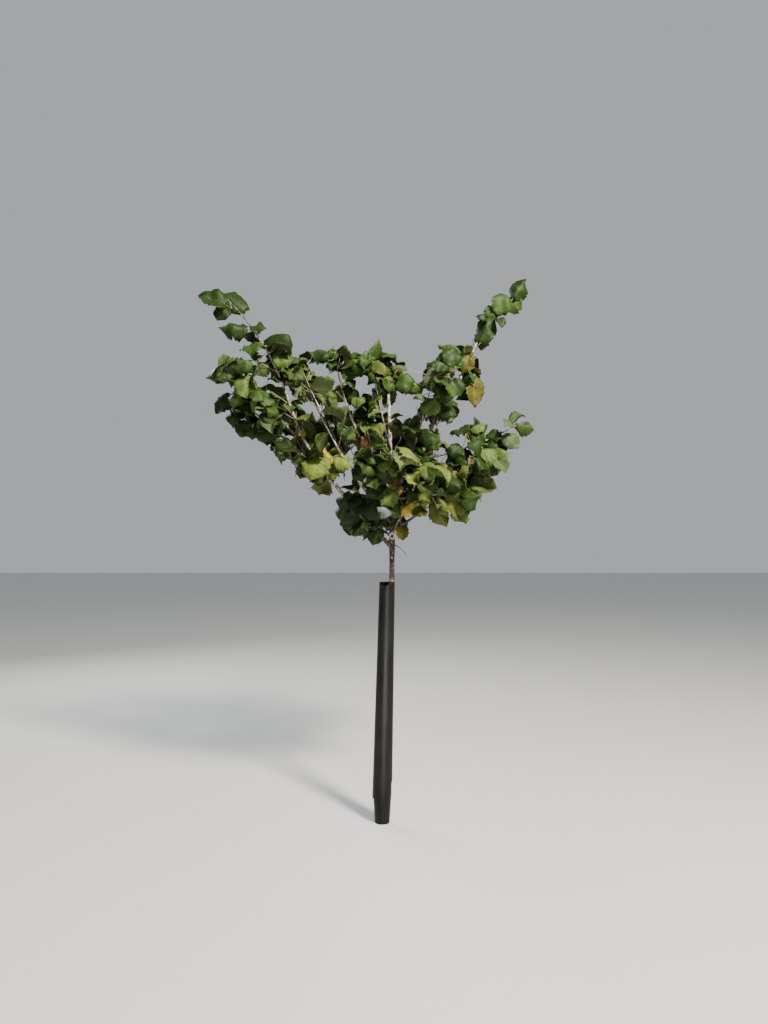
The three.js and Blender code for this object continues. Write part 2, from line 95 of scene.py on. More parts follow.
# Limbs: what each leaves and where, its tip, how far its middle hangs under the straight line, the radius of
# its foot, the share of its length that is bare, and how far its side twigs reach.
LIMBS = {
    "left_long": ("trunk", 1.404, (-0.820, -0.200, 2.690), 0.120, 0.012, 0.5, 0.150),
    "left_out": ("left_long", 0.4, (-0.785, -0.130, 2.340), -0.010, 0.0065, 0.25, 0.150),
    "left_low": ("left_long", 0.33, (-0.770, 0.040, 2.200), 0.0, 0.0065, 0.2, 0.180),
    "left_under": ("left_long", 0.22, (-0.450, -0.190, 1.915), -0.010, 0.006, 0.25, 0.140),
    "left_foot": ("trunk", 1.455, (-0.150, 0.060, 1.640), 0.010, 0.006, 0.3, 0.110),
    "left_inner": ("trunk", 1.590, (-0.240, -0.240, 2.400), 0.060, 0.009, 0.36, 0.150),
    "left_front": ("trunk", 1.530, (-0.350, -0.380, 2.150), 0.060, 0.008, 0.32, 0.160),
    "left_back": ("trunk", 1.560, (-0.470, 0.240, 2.440), 0.090, 0.009, 0.36, 0.170),
    "right_long": ("trunk", 1.545, (0.770, 0.140, 2.785), -0.110, 0.011, 0.48, 0.140),
    "right_out": ("right_long", 0.2, (0.745, 0.050, 2.065), 0.030, 0.007, 0.36, 0.140),
    "right_low": ("trunk", 1.490, (0.520, -0.160, 1.860), 0.030, 0.008, 0.32, 0.170),
    "right_inner": ("right_long", 0.3, (0.350, 0.080, 2.470), 0.020, 0.0065, 0.25, 0.150),
    "right_front": ("trunk", 1.640, (0.240, -0.400, 2.200), 0.060, 0.008, 0.32, 0.170),
    "front_low": ("trunk", 1.480, (0.190, -0.380, 1.790), 0.020, 0.007, 0.3, 0.150),
    "front_mid": ("trunk", 1.580, (-0.070, -0.480, 1.950), 0.040, 0.008, 0.32, 0.170),
    "front_top": ("trunk", 1.900, (-0.060, -0.220, 2.350), 0.020, 0.006, 0.25, 0.140),
    "back_left": ("trunk", 1.620, (-0.290, 0.500, 2.200), 0.060, 0.009, 0.34, 0.180),
    "back_low": ("trunk", 1.470, (0.060, 0.460, 1.790), 0.030, 0.008, 0.32, 0.170),
    "back_right": ("trunk", 1.660, (0.330, 0.480, 2.230), 0.060, 0.009, 0.34, 0.180),
    "back_mid": ("trunk", 1.760, (0.020, 0.520, 2.110), 0.040, 0.007, 0.32, 0.160),
    "right_back": ("right_long", 0.13, (0.560, 0.350, 2.020), 0.030, 0.007, 0.34, 0.170),
    "low_twig": ("trunk", 1.418, (0.125, -0.025, 1.362), -0.012, 0.004, 1, 0.0),
    "leader": ("trunk", TRUNK_HEIGHT, (0.024, 0.007, 2.380), 0.0, 0.007, 0, 0.160),
}
LIMB_STEP = 0.160
FOOT_COLLAR = 0.35
FOOT_COLLAR_LENGTH = 0.022

# Leafy shoots that bow within their foliage: the share of the limb where a bow starts, and how far it goes.
SHOOT_BOWS = {
    "left_long": (0.5, (0.064, 0.0, 0.038)),
    "right_long": (0.48, (-0.036, 0.0, 0.026)),
    "left_inner": (0.36, (-0.022, 0.0, 0.0)),
}

# Foliage: joints on a stem, side twigs and leaves, by the rule that the solids grow by.
JOINT_GAP = 0.078
TWIG_ANGLE = 52
TWIG_LIFT = 0.25
TWIG_TIP_JOINT = 0.97
SPIRAL = 137.5
LEAF_LENGTH = 0.112
LEAF_SPREAD = 0.028
LEAF_STALK = 0.2
LEAF_APART = 0.066
LEAF_THROWS = 6

# How far the next leaf on a twig turns from the other side, and how big leaves are within a twig and on a
# stem.
TURN_SPREAD = 35
INNER_SIZE = 0.92
STEM_SIZE = 0.95

# How far a side twig reaches: what is lost towards the limb's tip, and what is thrown. Then the last share
# of the stem that has twigs.
REACH_LOST = 0.55
REACH_THROWN = (0.75, 1.15)
LAST_TWIG = 0.85

# How a leaf is thrown: its droop and its lean towards the twig's tip as shares, and angles in degrees.
LEAF_DROOP = (0.15, 0.8)
LEAF_FORWARD = (0.1, 0.6)
LEAF_ROLL = (-45, 45)
LEAF_ARCH = (20, 80)
LEAF_FOLD = (-32, 26)

# How much room leaves keep from bare wood, and how low they hang.
LIMB_CLEARANCE = 0.006
LOWEST_LEAF = 1.400

# The shares of a blade's length and width that are tried for room, and in the picture.
PROBES = ((0, 0), (0.25, 0.42), (0.25, -0.42), (0.5, 0), (0.75, 0.42), (0.75, -0.42), (1, 0))
VIEW_PROBES = [(share, side) for share in (0.1, 0.35, 0.6, 0.85) for side in (-0.35, -0.12, 0.12, 0.35)]

# Finer growth between the solids' own twigs: each round has its own seed, how close its leaves may hang, the
# share of a limb's reach that its twigs have, and how many throws a leaf has to find a free place.
FINER_ROUNDS = ((101, 0.056, 0.95, 10), (201, 0.050, 0.80, 10), (301, 0.046, 0.65, 8), (401, 0.042, 0.9, 8))
LEAF_GROWTH = 1.12
STEM_RADIUS = 0.0022
TWIG_RADIUS = 0.0021
TWIG_TIP_RADIUS = 0.0012
STALK_RADIUS = 0.0009

# A leaf's outline: how wide half of it is, as a share of its length, from its base to its tip.
LEAF_SHARES = (-0.06, 0.0, 0.05, 0.15, 0.30, 0.45, 0.60, 0.72, 0.80, 0.87, 0.93, 1.0)
LEAF_WIDTHS = (0.13, 0.21, 0.29, 0.37, 0.42, 0.435, 0.42, 0.365, 0.29, 0.19, 0.085, 0.0)
LEAF_ROWS = 16
LEAF_COLUMNS = (-1, -0.68, -0.34, -0.025, 0.025, 0.34, 0.68, 1)
LEAF_THICKNESS = 0.0006
VEIN_SLANT = 0.17
BASE_LOBE = 0.06
TOOTH = 0.055
RAGGED = 0.040
LOBES = 4.5
LOBE = 0.07
DENT = 0.042
PLEAT = 0.014
MIDRIB_GROOVE = 0.012
EDGE_WAVES = 1.6
FOLD_LIMIT = 64

# How leaves differ: what arch and fold are multiplied by, and the ranges of the cup, the waves of the edge,
# the curl of the tip and the twist. Leaves that stand out fold either way, and cup, curl and twist less.
ARCH_THROWN = (0.9, 1.5)
FOLD_THROWN = (1.2, 2.2)
SHOWN_FOLDS = (1.0, -1.3, -1.0)
CUP = (-2.0, 0.3)
WAVE = (0.03, 0.11)
CURL = (0.1, 1.8)
TWIST = (-0.9, 0.9)
STEADY = 0.55

# Leaves that stand out keep their length, and past this one they grow no wider.
EXACT_WIDTH = 1.16
EXACT_FULL_LENGTH = 0.118

# Guard sizes, as its solids have them, and the small features that only show here.
SHEET = 0.0015
ROLL_GAP = 0.0005
ROLL_START = -140
ROLL_OVERLAP = 45
GUARD_TOP = 1.223
GUARD_TOP_RADIUS = 0.041
FLATS = 0.00032
GAP = 0.0003
GUARD_EDGE = 0.126
GUARD_EDGE_RADIUS = 0.052
GUARD_CORNER_RISE = 0.086
GUARD_CORNER_FROM = -95
GUARD_CORNER_TO = 0
GUARD_FOOT_RADIUS = 0.039
GUARD_FOOT_BEND = 0.140
GUARD_FOOT_TOP = 0.300
AIR_HOLE_RADIUS = 0.0022
AIR_HOLE_GAP = 0.036
AIR_HOLE_ANGLE = -158
VENT_HEIGHT = 0.619
VENT_RADIUS = 0.004
CREASE_HEIGHT = 0.868
MOUTH_DIP = 0.018
MOUTH_DIP_ANGLE = -118
MOUTH_DIP_WIDTH = 48
GUARD_COLUMNS = 108
GUARD_ROWS = 220
GUARD_FOOT_ROWS = 60
EDGE_SOFTNESS = 0.0004

# Places where leaves turn first, each with its reach and the tint that most of them turn to.
TURNING = (
    ((-0.30, -0.22, 1.84), 0.11, "lime"),
    ((0.08, -0.20, 1.66), 0.13, "lime"),
    ((0.25, -0.30, 1.70), 0.12, "lime"),
    ((0.05, 0.30, 1.70), 0.14, "yellow"),
    ((-0.30, 0.45, 2.05), 0.12, "lime"),
    ((0.50, 0.30, 1.95), 0.12, "yellow"),
)

# The camera stands where the photographer did. Its frame, and what is measured in it below, is in the
# photograph's pixels, and its sensor in millimetres.
EYE = np.array((0.0087, -3.984, 1.440))
LOOK_UP = 2.085
FOCAL_PIXELS = 769
FRAME_HEIGHT = 1024
FRAME_MIDDLE = (384, 512)
SENSOR = 36

# The crown's outline in the picture, clockwise from its foot.
OUTLINE = (
    (386, 548), (370, 549), (362, 538), (340, 537), (334, 522), (342, 506), (330, 488), (308, 485),
    (306, 478), (296, 475), (293, 457), (280, 458), (270, 448), (262, 448), (236, 438), (236, 426),
    (222, 427), (211, 415), (210, 407), (222, 408), (233, 398), (233, 386), (224, 376), (211, 382),
    (209, 372), (214, 357), (253, 357), (236, 347), (248, 338), (220, 336), (217, 328), (222, 318),
    (216, 321), (196, 300), (196, 290), (214, 285), (231, 286), (247, 304), (248, 318), (266, 320),
    (269, 331), (264, 339), (282, 341), (300, 356), (306, 348), (324, 341), (344, 352), (347, 356),
    (358, 354), (378, 342), (382, 356), (390, 353), (411, 366), (415, 386), (420, 362), (436, 356),
    (434, 344), (452, 336), (466, 346), (476, 320), (486, 306), (497, 290), (504, 298), (512, 296),
    (523, 278), (532, 290), (521, 300), (520, 312), (504, 314), (505, 328), (496, 343), (478, 352),
    (480, 386), (488, 402), (474, 411), (461, 406), (463, 421), (487, 419), (490, 434), (502, 427),
    (519, 411), (527, 421), (539, 423), (538, 434), (523, 432), (524, 441), (519, 452), (500, 449),
    (510, 469), (499, 478), (500, 488), (482, 500), (471, 502), (469, 521), (451, 522), (448, 532),
    (434, 518), (404, 520), (406, 538), (399, 546),
)

# Gaps in the crown where sky shows: the middle and radius of each.
SKY_GAPS = (
    (267, 381, 7), (283, 388, 4), (257, 412, 3), (240, 421, 4), (258, 358, 4), (318, 367, 6),
    (319, 350, 5), (331, 377, 5), (338, 391, 4), (344, 405, 6), (365, 380, 6), (366, 391, 4),
    (307, 406, 5), (318, 412, 4), (333, 424, 3), (402, 395, 5), (415, 405, 4), (428, 389, 6),
    (455, 374, 5), (459, 397, 3), (404, 412, 3), (422, 423, 4), (441, 421, 6), (443, 430, 5),
    (457, 439, 7), (467, 446, 5), (478, 450, 4), (437, 453, 6), (447, 457, 5), (284, 437, 4),
    (350, 447, 6), (347, 455, 5), (358, 465, 5), (364, 472, 3), (343, 477, 4), (358, 484, 3),
    (373, 446, 3), (412, 440, 3), (388, 438, 3), (473, 474, 3), (448, 347, 4), (481, 436, 3),
    (422, 513, 5), (430, 511, 5), (410, 526, 5), (420, 526, 6), (350, 505, 2),
)

# Stretches of wood that the crown leaves in view: a limb, or the trunk, and its shares or heights.
WOOD_IN_VIEW = (
    ("left_long", 0.50, 0.95), ("left_inner", 0.55, 0.95), ("left_back", 0.55, 0.9), ("trunk", 1.93, 2.19),
    ("right_front", 0.1, 0.3), ("front_low", 0.05, 0.3), ("trunk", 1.40, 1.56),
)

# Shoot tips where only the leaves that stand out hang: the middle and radius of each.
SHOOT_TIPS = ((222, 306, 44), (501, 312, 40), (523, 424, 22))

# The dark cluster at the crown's foot, where only leaves that stand out hang in front.
DARK_CLUSTER = (358, 508, 22)
DARK_CLUSTER_DEPTH = 0.0

# Leaves that stand out in the picture: where the blade's base and its tip fall, its tint, and how far it is
# folded up, in degrees. In the dark cluster the darkest tint is painted shadow.
SHOWN_LEAVES = (
    (246, 311, 217, 290, "deep", 16), (226, 305, 197, 293, "deep", 24), (226, 303, 216, 321, "deep", 22),
    (247, 328, 219, 329, "deep", 18), (250, 328, 267, 327, "deep", 14), (252, 331, 247, 342, "deep", 30),
    (264, 344, 238, 350, "green", 14), (252, 361, 229, 365, "green", 22), (238, 360, 212, 380, "grey", 26),
    (243, 376, 250, 400, "bright", 14), (241, 382, 226, 374, "deep", 20), (238, 400, 212, 413, "deep", 10),
    (240, 405, 228, 427, "deep", 10), (246, 421, 240, 437, "deep", 16), (256, 420, 252, 441, "deep", 12),
    (268, 421, 266, 447, "deep", 12), (266, 345, 298, 356, "deep", 43), (276, 352, 290, 368, "bright", 10),
    (268, 364, 256, 376, "grey", 12), (293, 447, 274, 453, "deep", 24), (275, 407, 295, 430, "grey", 8),
    (292, 376, 306, 404, "grey", 8), (262, 390, 290, 400, "bright", 16), (304, 376, 318, 386, "bright", 12),
    (331, 352, 308, 352, "deep", 30), (328, 350, 343, 352, "green", 26), (328, 360, 308, 362, "deep", 16),
    (343, 385, 333, 404, "bright", 12), (352, 398, 366, 402, "bright", 14),
    (366, 361, 379, 337, "green", 37), (369, 359, 347, 372, "deep", 12), (392, 367, 409, 369, "grey", 30),
    (388, 372, 390, 394, "green", 12), (404, 374, 406, 394, "green", 10), (420, 392, 410, 376, "bright", 28),
    (468, 356, 436, 347, "green", 42), (455, 366, 445, 347, "deep", 8), (450, 366, 428, 360, "deep", 12),
    (434, 384, 448, 366, "grey", 20), (452, 380, 462, 396, "deep", 14), (437, 399, 422, 415, "bright", 12),
    (471, 376, 474, 408, "ochre", 24), (440, 404, 458, 416, "deep", 12), (513, 298, 527, 279, "deep", 30),
    (519, 298, 506, 312, "green", 12), (502, 315, 499, 292, "green", 24), (494, 319, 490, 303, "green", 20),
    (490, 317, 478, 350, "deep", 20), (498, 319, 503, 329, "deep", 34), (486, 316, 477, 315, "deep", 20),
    (470, 356, 463, 374, "ochre", 34), (512, 424, 525, 414, "green", 40), (516, 424, 538, 429, "green", 34),
    (512, 424, 504, 425, "grey", 36), (505, 434, 519, 449, "grey", 14), (499, 432, 488, 444, "deep", 16),
    (469, 431, 486, 421, "bright", 40), (481, 432, 474, 447, "green", 14),
    (484, 450, 495, 467, "bright", 10), (497, 460, 507, 472, "grey", 24), (476, 470, 470, 488, "deep", 14),
    (487, 464, 498, 476, "deep", 16), (460, 450, 470, 470, "deep", 8), (438, 487, 465, 506, "lime", 26),
    (441, 500, 466, 519, "olive", 24), (433, 503, 447, 529, "olive", 26), (432, 497, 416, 501, "lime", 26),
    (413, 503, 398, 513, "yellow", 32), (418, 506, 421, 516, "ochre", 30),
    (399, 478, 394, 491, "yellow", 22), (406, 477, 422, 483, "lime", 20), (422, 466, 436, 478, "bright", 18),
    (396, 492, 380, 506, "bright", 26), (372, 470, 391, 465, "deep", 10), (390, 460, 374, 466, "bright", 34),
    (317, 447, 336, 466, "yellow", 26), (334, 459, 354, 465, "lime", 22), (322, 464, 336, 480, "olive", 22),
    (306, 426, 295, 442, "yellow", 24), (308, 440, 300, 452, "ochre", 24), (314, 460, 298, 472, "ochre", 30),
    (324, 475, 308, 481, "deep", 14), (302, 455, 294, 463, "deep", 30), (357, 484, 338, 488, "shade", 10),
    (372, 446, 362, 436, "amber", 34), (362, 514, 340, 528, "shade", 10), (362, 498, 350, 516, "shade", 14),
    (378, 498, 366, 521, "shade", 14), (379, 528, 373, 547, "deep", 34), (383, 512, 373, 532, "shade", 20),
    (392, 512, 376, 507, "dry", 24), (401, 526, 403, 541, "ochre", 34), (402, 518, 397, 534, "green", 34),
    (466, 482, 498, 488, "olive", 24), (379, 477, 366, 486, "bright", 30), (356, 420, 368, 424, "lime", 24),
    (318, 424, 330, 432, "bright", 20), (350, 492, 337, 510, "shade", 30), (346, 504, 339, 521, "deep", 26),
    (376, 484, 362, 496, "deep", 34), (378, 472, 390, 484, "shade", 30), (384, 484, 372, 500, "shade", 30),
    (368, 520, 352, 536, "deep", 34), (370, 523, 357, 524, "bright", 44), (370, 508, 358, 506, "green", 43),
    (366, 468, 352, 480, "shade", 26), (408, 490, 420, 500, "deep", 18), (450, 446, 467, 459, "deep", 12),
    (424, 484, 436, 494, "green", 16), (470, 442, 483, 458, "deep", 16), (402, 486, 412, 476, "deep", 20),
)

# Where they hang: how much nearer than their stem, by tint and at random, and how far behind wood that they
# would hide. Then how many pixels a metre of depth counts for when their stem is chosen, in front of wood
# and behind it, how close to wood they hide it, in pixels, and the lowest stem.
HUNG_NEARER = {"dry": 0.24}
NEARER_AT_RANDOM = 0.05
BEHIND_WOOD = 0.035
DEPTH_WEIGHT = 50
DEPTH_WEIGHT_BEHIND = 100
HIDES_WITHIN = 3
LOWEST_STEM = 1.44

# How they hang: their least size, how far they roll either way, their arch, the fold past which they arch
# more and how much, and the fold at which they are seen on their edge.
SHOWN_SIZES = (0.6, 0.8)
SHOWN_ROLL = 24
# The leaves with the painted shadow tint roll furthest.
PAINTED_SHADE_ROLL = 55
TIP_ROLL = 14
SHOWN_ARCH = (20, 50)
ARCHED_FROM_FOLD = 40
ARCHED_MORE = 50
EDGE_ON_FOLD = 46

# How far other leaves keep from them and from the wood in view, in pixels, and from them in metres.
SHOWN_LEAF_CLEARANCE = 11
WOOD_IN_VIEW_CLEARANCE = 4.0
SHOWN_LEAF_APART = 0.045

# The key light stands for the sun. No loose leaf keeps it off the top of the trunk, between two heights.
SUN = (2.7, -4.1, 5.7)
SUN_AIM = (0.0, 0.0, 1.9)
SUNLIT_TRUNK = (1.96, 2.19)
SUNLIT_CLEARANCE = 0.028

UP = np.array((0.0, 0.0, 1.0))
TOWARDS_VIEWER = np.array((0.0, -1.0, 0.0))


class Dice:
    """Repeatable throws, the same as the solids are grown with."""

    def __init__(self, seed):
        self.state = seed * 2654435761 & 0xFFFFFFFF
        self.throw()
        self.throw()

    def throw(self):
        self.state = (self.state * 1664525 + 1013904223) & 0xFFFFFFFF
        return self.state / 4294967296

    def between(self, low, high):
        return low + (high - low) * self.throw()


def unit(vector):
    return vector / np.linalg.norm(vector)


SUN_WAY = unit(np.array(SUN) - np.array(SUN_AIM))


def turned(vector, axis, angle):
    """The vector turned about an axis of length one."""
    along = axis * vector.dot(axis)
    return along + (vector - along) * math.cos(angle) + np.cross(axis, vector) * math.sin(angle)


def mix(low, high, share):
    return low + (high - low) * share


def smoothstep(value, low, high):
    share = np.clip((value - low) / (high - low), 0, 1)
    return share * share * (3 - 2 * share)


# Lines of the trunk and the limbs.


def trunk_point(z):
    """The middle of the trunk at a height."""
    lean = TRUNK_LEAN * math.sin(math.pi * z / TRUNK_LEAN_WAVE)
    sway = -TRUNK_SWAY * math.sin(math.pi * z / TRUNK_SWAY_WAVE)
    return np.array((lean, sway, z))


def trunk_radius(z):
    taper = mix(TRUNK_FOOT_RADIUS, TRUNK_TIP_RADIUS, z / TRUNK_HEIGHT)
    flare = ROOT_FLARE * math.exp(-z / ROOT_FLARE_HEIGHT)
    return taper + flare + SWELLING * math.exp(-(((z - SWELLING_HEIGHT) / SWELLING_LENGTH) ** 2))


def point_on(row, share):
    """The point at a share of the way along a row of points."""
    place = share * (len(row) - 1)
    i = min(math.floor(place), len(row) - 2)
    return mix(row[i], row[i + 1], place - i)


def heading_on(row, share):
    i = min(math.floor(share * (len(row) - 1)), len(row) - 2)
    return unit(row[i + 1] - row[i])


def limb_row(name, rows):
    """A row of points along a bow from the limb's foot to its tip."""
    parent, at, tip, sag = LIMBS[name][:4]
    foot = trunk_point(at) if parent == "trunk" else point_on(rows[parent], at)
    tip = np.array(tip)
    middle = mix(foot, tip, 0.5) - 2 * sag * UP
    steps = max(2, math.floor(np.linalg.norm(tip - foot) / LIMB_STEP + 0.5))
    shares = np.linspace(0, 1, steps + 1)[:, None]
    row = (1 - shares) ** 2 * foot + 2 * shares * (1 - shares) * middle + shares**2 * tip
    start, bow = SHOOT_BOWS.get(name, (0, (0, 0, 0)))
    return row + np.sin(np.pi * np.clip((shares - start) / (1 - start), 0, 1) ** 1.3) * np.array(bow)


def leafy_from(name, row):
    """The step of a limb's row where its leafy stem begins."""
    bare = LIMBS[name][5]
    return max(int(bare > 0), math.floor(bare * (len(row) - 1) + 0.5))


def smooth_line(row, gap):
    """Points at even steps along a smooth curve through a row."""
    row = np.array(row)
    ends = np.vstack((2 * row[0] - row[1], row, 2 * row[-1] - row[-2]))
    length = np.linalg.norm(np.diff(row, axis=0), axis=1).sum()
    steps = max(3, round(length / gap))
    place = np.linspace(0, len(row) - 1, steps + 1)
    i = np.minimum(place.astype(int), len(row) - 2)
    t = (place - i)[:, None]
    before, here, after, beyond = ends[i], ends[i + 1], ends[i + 2], ends[i + 3]
    curve = 2 * here + (after - before) * t + (2 * before - 5 * here + 4 * after - beyond) * t**2
    return (curve + (3 * here - before - 3 * after + beyond) * t**3) / 2


# Growth of twigs and leaves.


def leaf_frame(along, facing, roll):
    """The three directions of a leaf that runs along one way and faces another, rolled a little."""
    direction = unit(along)
    upper = turned(unit(facing - direction * facing.dot(direction)), direction, roll)
    return {"direction": direction, "upper": upper, "across": np.cross(direction, upper)}


def leaf_point(leaf, share, side):
    """A point of the bent blade, at a share of its length and a width to one side."""
    bend = leaf["arch"] * max(share, 0)
    forward = share if share < 0 else math.sin(bend) / leaf["arch"]
    down = (math.cos(bend) - 1) / leaf["arch"]
    rise = leaf["upper"] * math.cos(bend) + leaf["direction"] * math.sin(bend)
    offset = leaf["direction"] * forward + leaf["upper"] * down
    half = leaf["across"] * side * math.cos(leaf["fold"])
    lift = rise * abs(side) * math.sin(leaf["fold"])
    return leaf["base"] + leaf["length"] * (offset + half + lift)


def grow_leaf(dice, joint, heading, side, size, middles, room):
    """One leaf at a joint, thrown again while its middle is too near an earlier one or it doesn't fit."""
    for _ in range(room.throws):
        droop = dice.between(*LEAF_DROOP)
        forward = dice.between(*LEAF_FORWARD)
        roll = math.radians(dice.between(*LEAF_ROLL))
        length = (LEAF_LENGTH + LEAF_SPREAD * dice.between(-1, 1)) * size
        arch = math.radians(dice.between(*LEAF_ARCH))
        fold = math.radians(dice.between(*LEAF_FOLD))
        leaf = leaf_frame(side + heading * forward - UP * droop, UP + side * 0.7, roll)
        base = joint + leaf["direction"] * LEAF_STALK * length
        leaf.update(joint=joint, base=base, length=length, arch=arch, fold=fold)
        middle = leaf_point(leaf, 0.5, 0)
        if middles and (np.linalg.norm(np.array(middles) - middle, axis=1) < room.apart).any():
            continue
        if room.fits(leaf):
            middles.append(middle)
            return [leaf]
    return []


def side_of(heading, angle):
    """The way out of a stem at an angle round it."""
    level = np.array((1.0, 0.0, 0.0)) if abs(heading[2]) > 0.95 else UP
    return turned(unit(level - heading * level.dot(heading)), heading, math.radians(angle))


def grow_twig(dice, joint, heading, side, length, middles, room):
    """One side twig with its leaves, the last of them at its tip."""
    cosine, sine = math.cos(math.radians(TWIG_ANGLE)), math.sin(math.radians(TWIG_ANGLE))
    out = unit(side * sine + heading * cosine + UP * TWIG_LIFT)
    row = np.array((joint, joint + out * length))
    count = max(2, math.floor(length / JOINT_GAP + 0.5))
    start = dice.between(0, 360)
    leaves = []
    for i in range(1, count + 1):
        round_twig = side_of(out, start + 180 * i + dice.between(-TURN_SPREAD, TURN_SPREAD))
        place = point_on(row, TWIG_TIP_JOINT * i / count)
        size = 1 if i == count else INNER_SIZE
        leaves += grow_leaf(dice, place, out, round_twig, size, middles, room)
    return {"row": row, "leaves": leaves}


def grow_foliage(name, row, seed, middles, room):
    """A limb's side twigs by turns round its stem, and leaves on both, as sprays."""
    dice = Dice(seed)
    bare = leafy_from(name, row) / (len(row) - 1)
    length = np.linalg.norm(row[-1] - row[0]) * (1 - bare)
    count = max(3, math.floor(length / JOINT_GAP + 0.5))
    start = dice.between(0, 360)
    sprays = []
    for i in range(count):
        share = (i + 0.6) / count
        place = bare + (1 - bare) * share
        joint, heading = point_on(row, place), heading_on(row, place)
        angle = start + SPIRAL * i
        reach = LIMBS[name][6] * room.reach * (1 - REACH_LOST * share) * dice.between(*REACH_THROWN)
        single = grow_leaf(dice, joint, heading, side_of(heading, angle + 180), STEM_SIZE, middles, room)
        sprays.append({"row": None, "leaves": single})
        if share < LAST_TWIG:
            sprays.append(grow_twig(dice, joint, heading, side_of(heading, angle), reach, middles, room))
    heading = heading_on(row, 1)
    tip, ends = point_on(row, 0.99), []
    for i in range(3):
        ends += grow_leaf(dice, tip, heading, side_of(heading, start + 120 * i), 1, middles, room)
    sprays.append({"row": None, "leaves": ends})
    return sprays


def way_to_woods(points, woods):
    """How far the nearest of some points is from the surface of the nearest bare wood."""
    starts, ends, radii = woods
    along = ends - starts
    from_start = points[:, None] - starts
    share = np.clip((from_start * along).sum(2) / (along * along).sum(1), 0, 1)
    return (np.linalg.norm(from_start - share[..., None] * along, axis=2) - radii).min()


def leaf_fits(leaf, woods):
    probes = np.array([leaf_point(leaf, share, side) for share, side in PROBES])
    return probes[:, 2].min() > LOWEST_LEAF and way_to_woods(probes, woods) > LIMB_CLEARANCE


# The picture: where things fall in it, and what has to stay free there.

TILT = math.radians(LOOK_UP)
VIEW = np.array(((1, 0, 0), (0, -math.sin(TILT), math.cos(TILT)), (0, math.cos(TILT), math.sin(TILT))))


def seen(points):
    """Where points fall in the photograph, in its pixels."""
    way = (np.asarray(points) - EYE) @ VIEW.T
    across, up = way[:, 0] / way[:, 2], way[:, 1] / way[:, 2]
    return np.column_stack((FRAME_MIDDLE[0] + FOCAL_PIXELS * across, FRAME_MIDDLE[1] - FOCAL_PIXELS * up))


def at_pixel(pixel, depth):
    """The point that a pixel shows where y is depth."""
    across, up = pixel[0] - FRAME_MIDDLE[0], FRAME_MIDDLE[1] - pixel[1]
    ray = np.array((across / FOCAL_PIXELS, up / FOCAL_PIXELS, 1)) @ VIEW
    return EYE + ray * (depth - EYE[1]) / ray[1]


def in_outline(pixels):
    """Which of some pixels fall inside the crown's outline."""
    x, y = pixels.T
    crossings = np.zeros(len(pixels), int)
    for (x0, y0), (x1, y1) in zip(OUTLINE, OUTLINE[1:] + OUTLINE[:1]):
        spans = (y0 > y) != (y1 > y)
        crossings += spans & (x < x0 + (x1 - x0) * (y - y0) / (y1 - y0 or 1))
    return crossings % 2 == 1


def in_zone(pixels, zone):
    """Whether any of some pixels falls in a round zone of the picture."""
    x, y, radius = zone
    return (np.hypot(*(pixels - (x, y)).T) < radius + 1).any()


def wood_in_view(rows):
    """Points along the wood that the crown leaves in view."""
    points = []
    for name, low, high in WOOD_IN_VIEW:
        for share in np.linspace(low, high, 40):
            points.append(trunk_point(share) if name == "trunk" else point_on(rows[name], share))
    return np.array(points)


class Room:
    """Where a round of growth may hang leaves, and how."""

    def __init__(self, picture, apart, reach=1, throws=LEAF_THROWS, within=0):
        self.picture, self.apart, self.reach = picture, apart, reach
        self.throws, self.within = throws, within

    def fits(self, leaf):
        return self.within == 0 or self.picture.fits(leaf, self.within)


class Picture:
    """What has to stay free in the picture: sky, the wood in view and the leaves that stand out."""

    def __init__(self, wood, woods, shown):
        self.woods = woods
        self.sunlit = np.array([trunk_point(z) for z in np.linspace(*SUNLIT_TRUNK, 16)])
        self.wood = wood
        self.wood_seen = seen(wood)
        self.middles = np.array([leaf_point(leaf, 0.5, 0) for leaf in shown])
        self.middles_seen = seen(self.middles)

    def fits(self, leaf, within):
        points = np.array([leaf_point(leaf, share, side) for share, side in VIEW_PROBES])
        pixels = seen(points)
        if in_outline(pixels).mean() < within or not leaf_fits(leaf, self.woods):
            return False
        if (points < SOLID_BOX[0]).any() or (points > SOLID_BOX[1]).any():
            return False
        if any(in_zone(pixels, zone) for zone in SKY_GAPS + SHOOT_TIPS):
            return False
        middle = points.mean(0)
        if (np.linalg.norm(self.middles - middle, axis=1) < SHOWN_LEAF_APART).any():
            return False
        if self.shades(points) or (middle[1] < DARK_CLUSTER_DEPTH and in_zone(pixels, DARK_CLUSTER)):
            return False
        near = np.hypot(*(pixels[:, None] - self.wood_seen).transpose(2, 0, 1)) < WOOD_IN_VIEW_CLEARANCE
        if (near & (self.wood[:, 1] > middle[1])).any():
            return False
        beside = np.hypot(*(self.middles_seen - pixels.mean(0)).T) < SHOWN_LEAF_CLEARANCE
        return not (beside & (self.middles[:, 1] > middle[1])).any()

    def shades(self, points):
        """Whether some points keep the sun off the top of the trunk."""
        from_trunk = points[:, None] - self.sunlit
        along = from_trunk @ SUN_WAY
        aside = np.linalg.norm(from_trunk - along[..., None] * SUN_WAY, axis=2)
        return ((along > 0) & (aside < SUNLIT_CLEARANCE)).any()


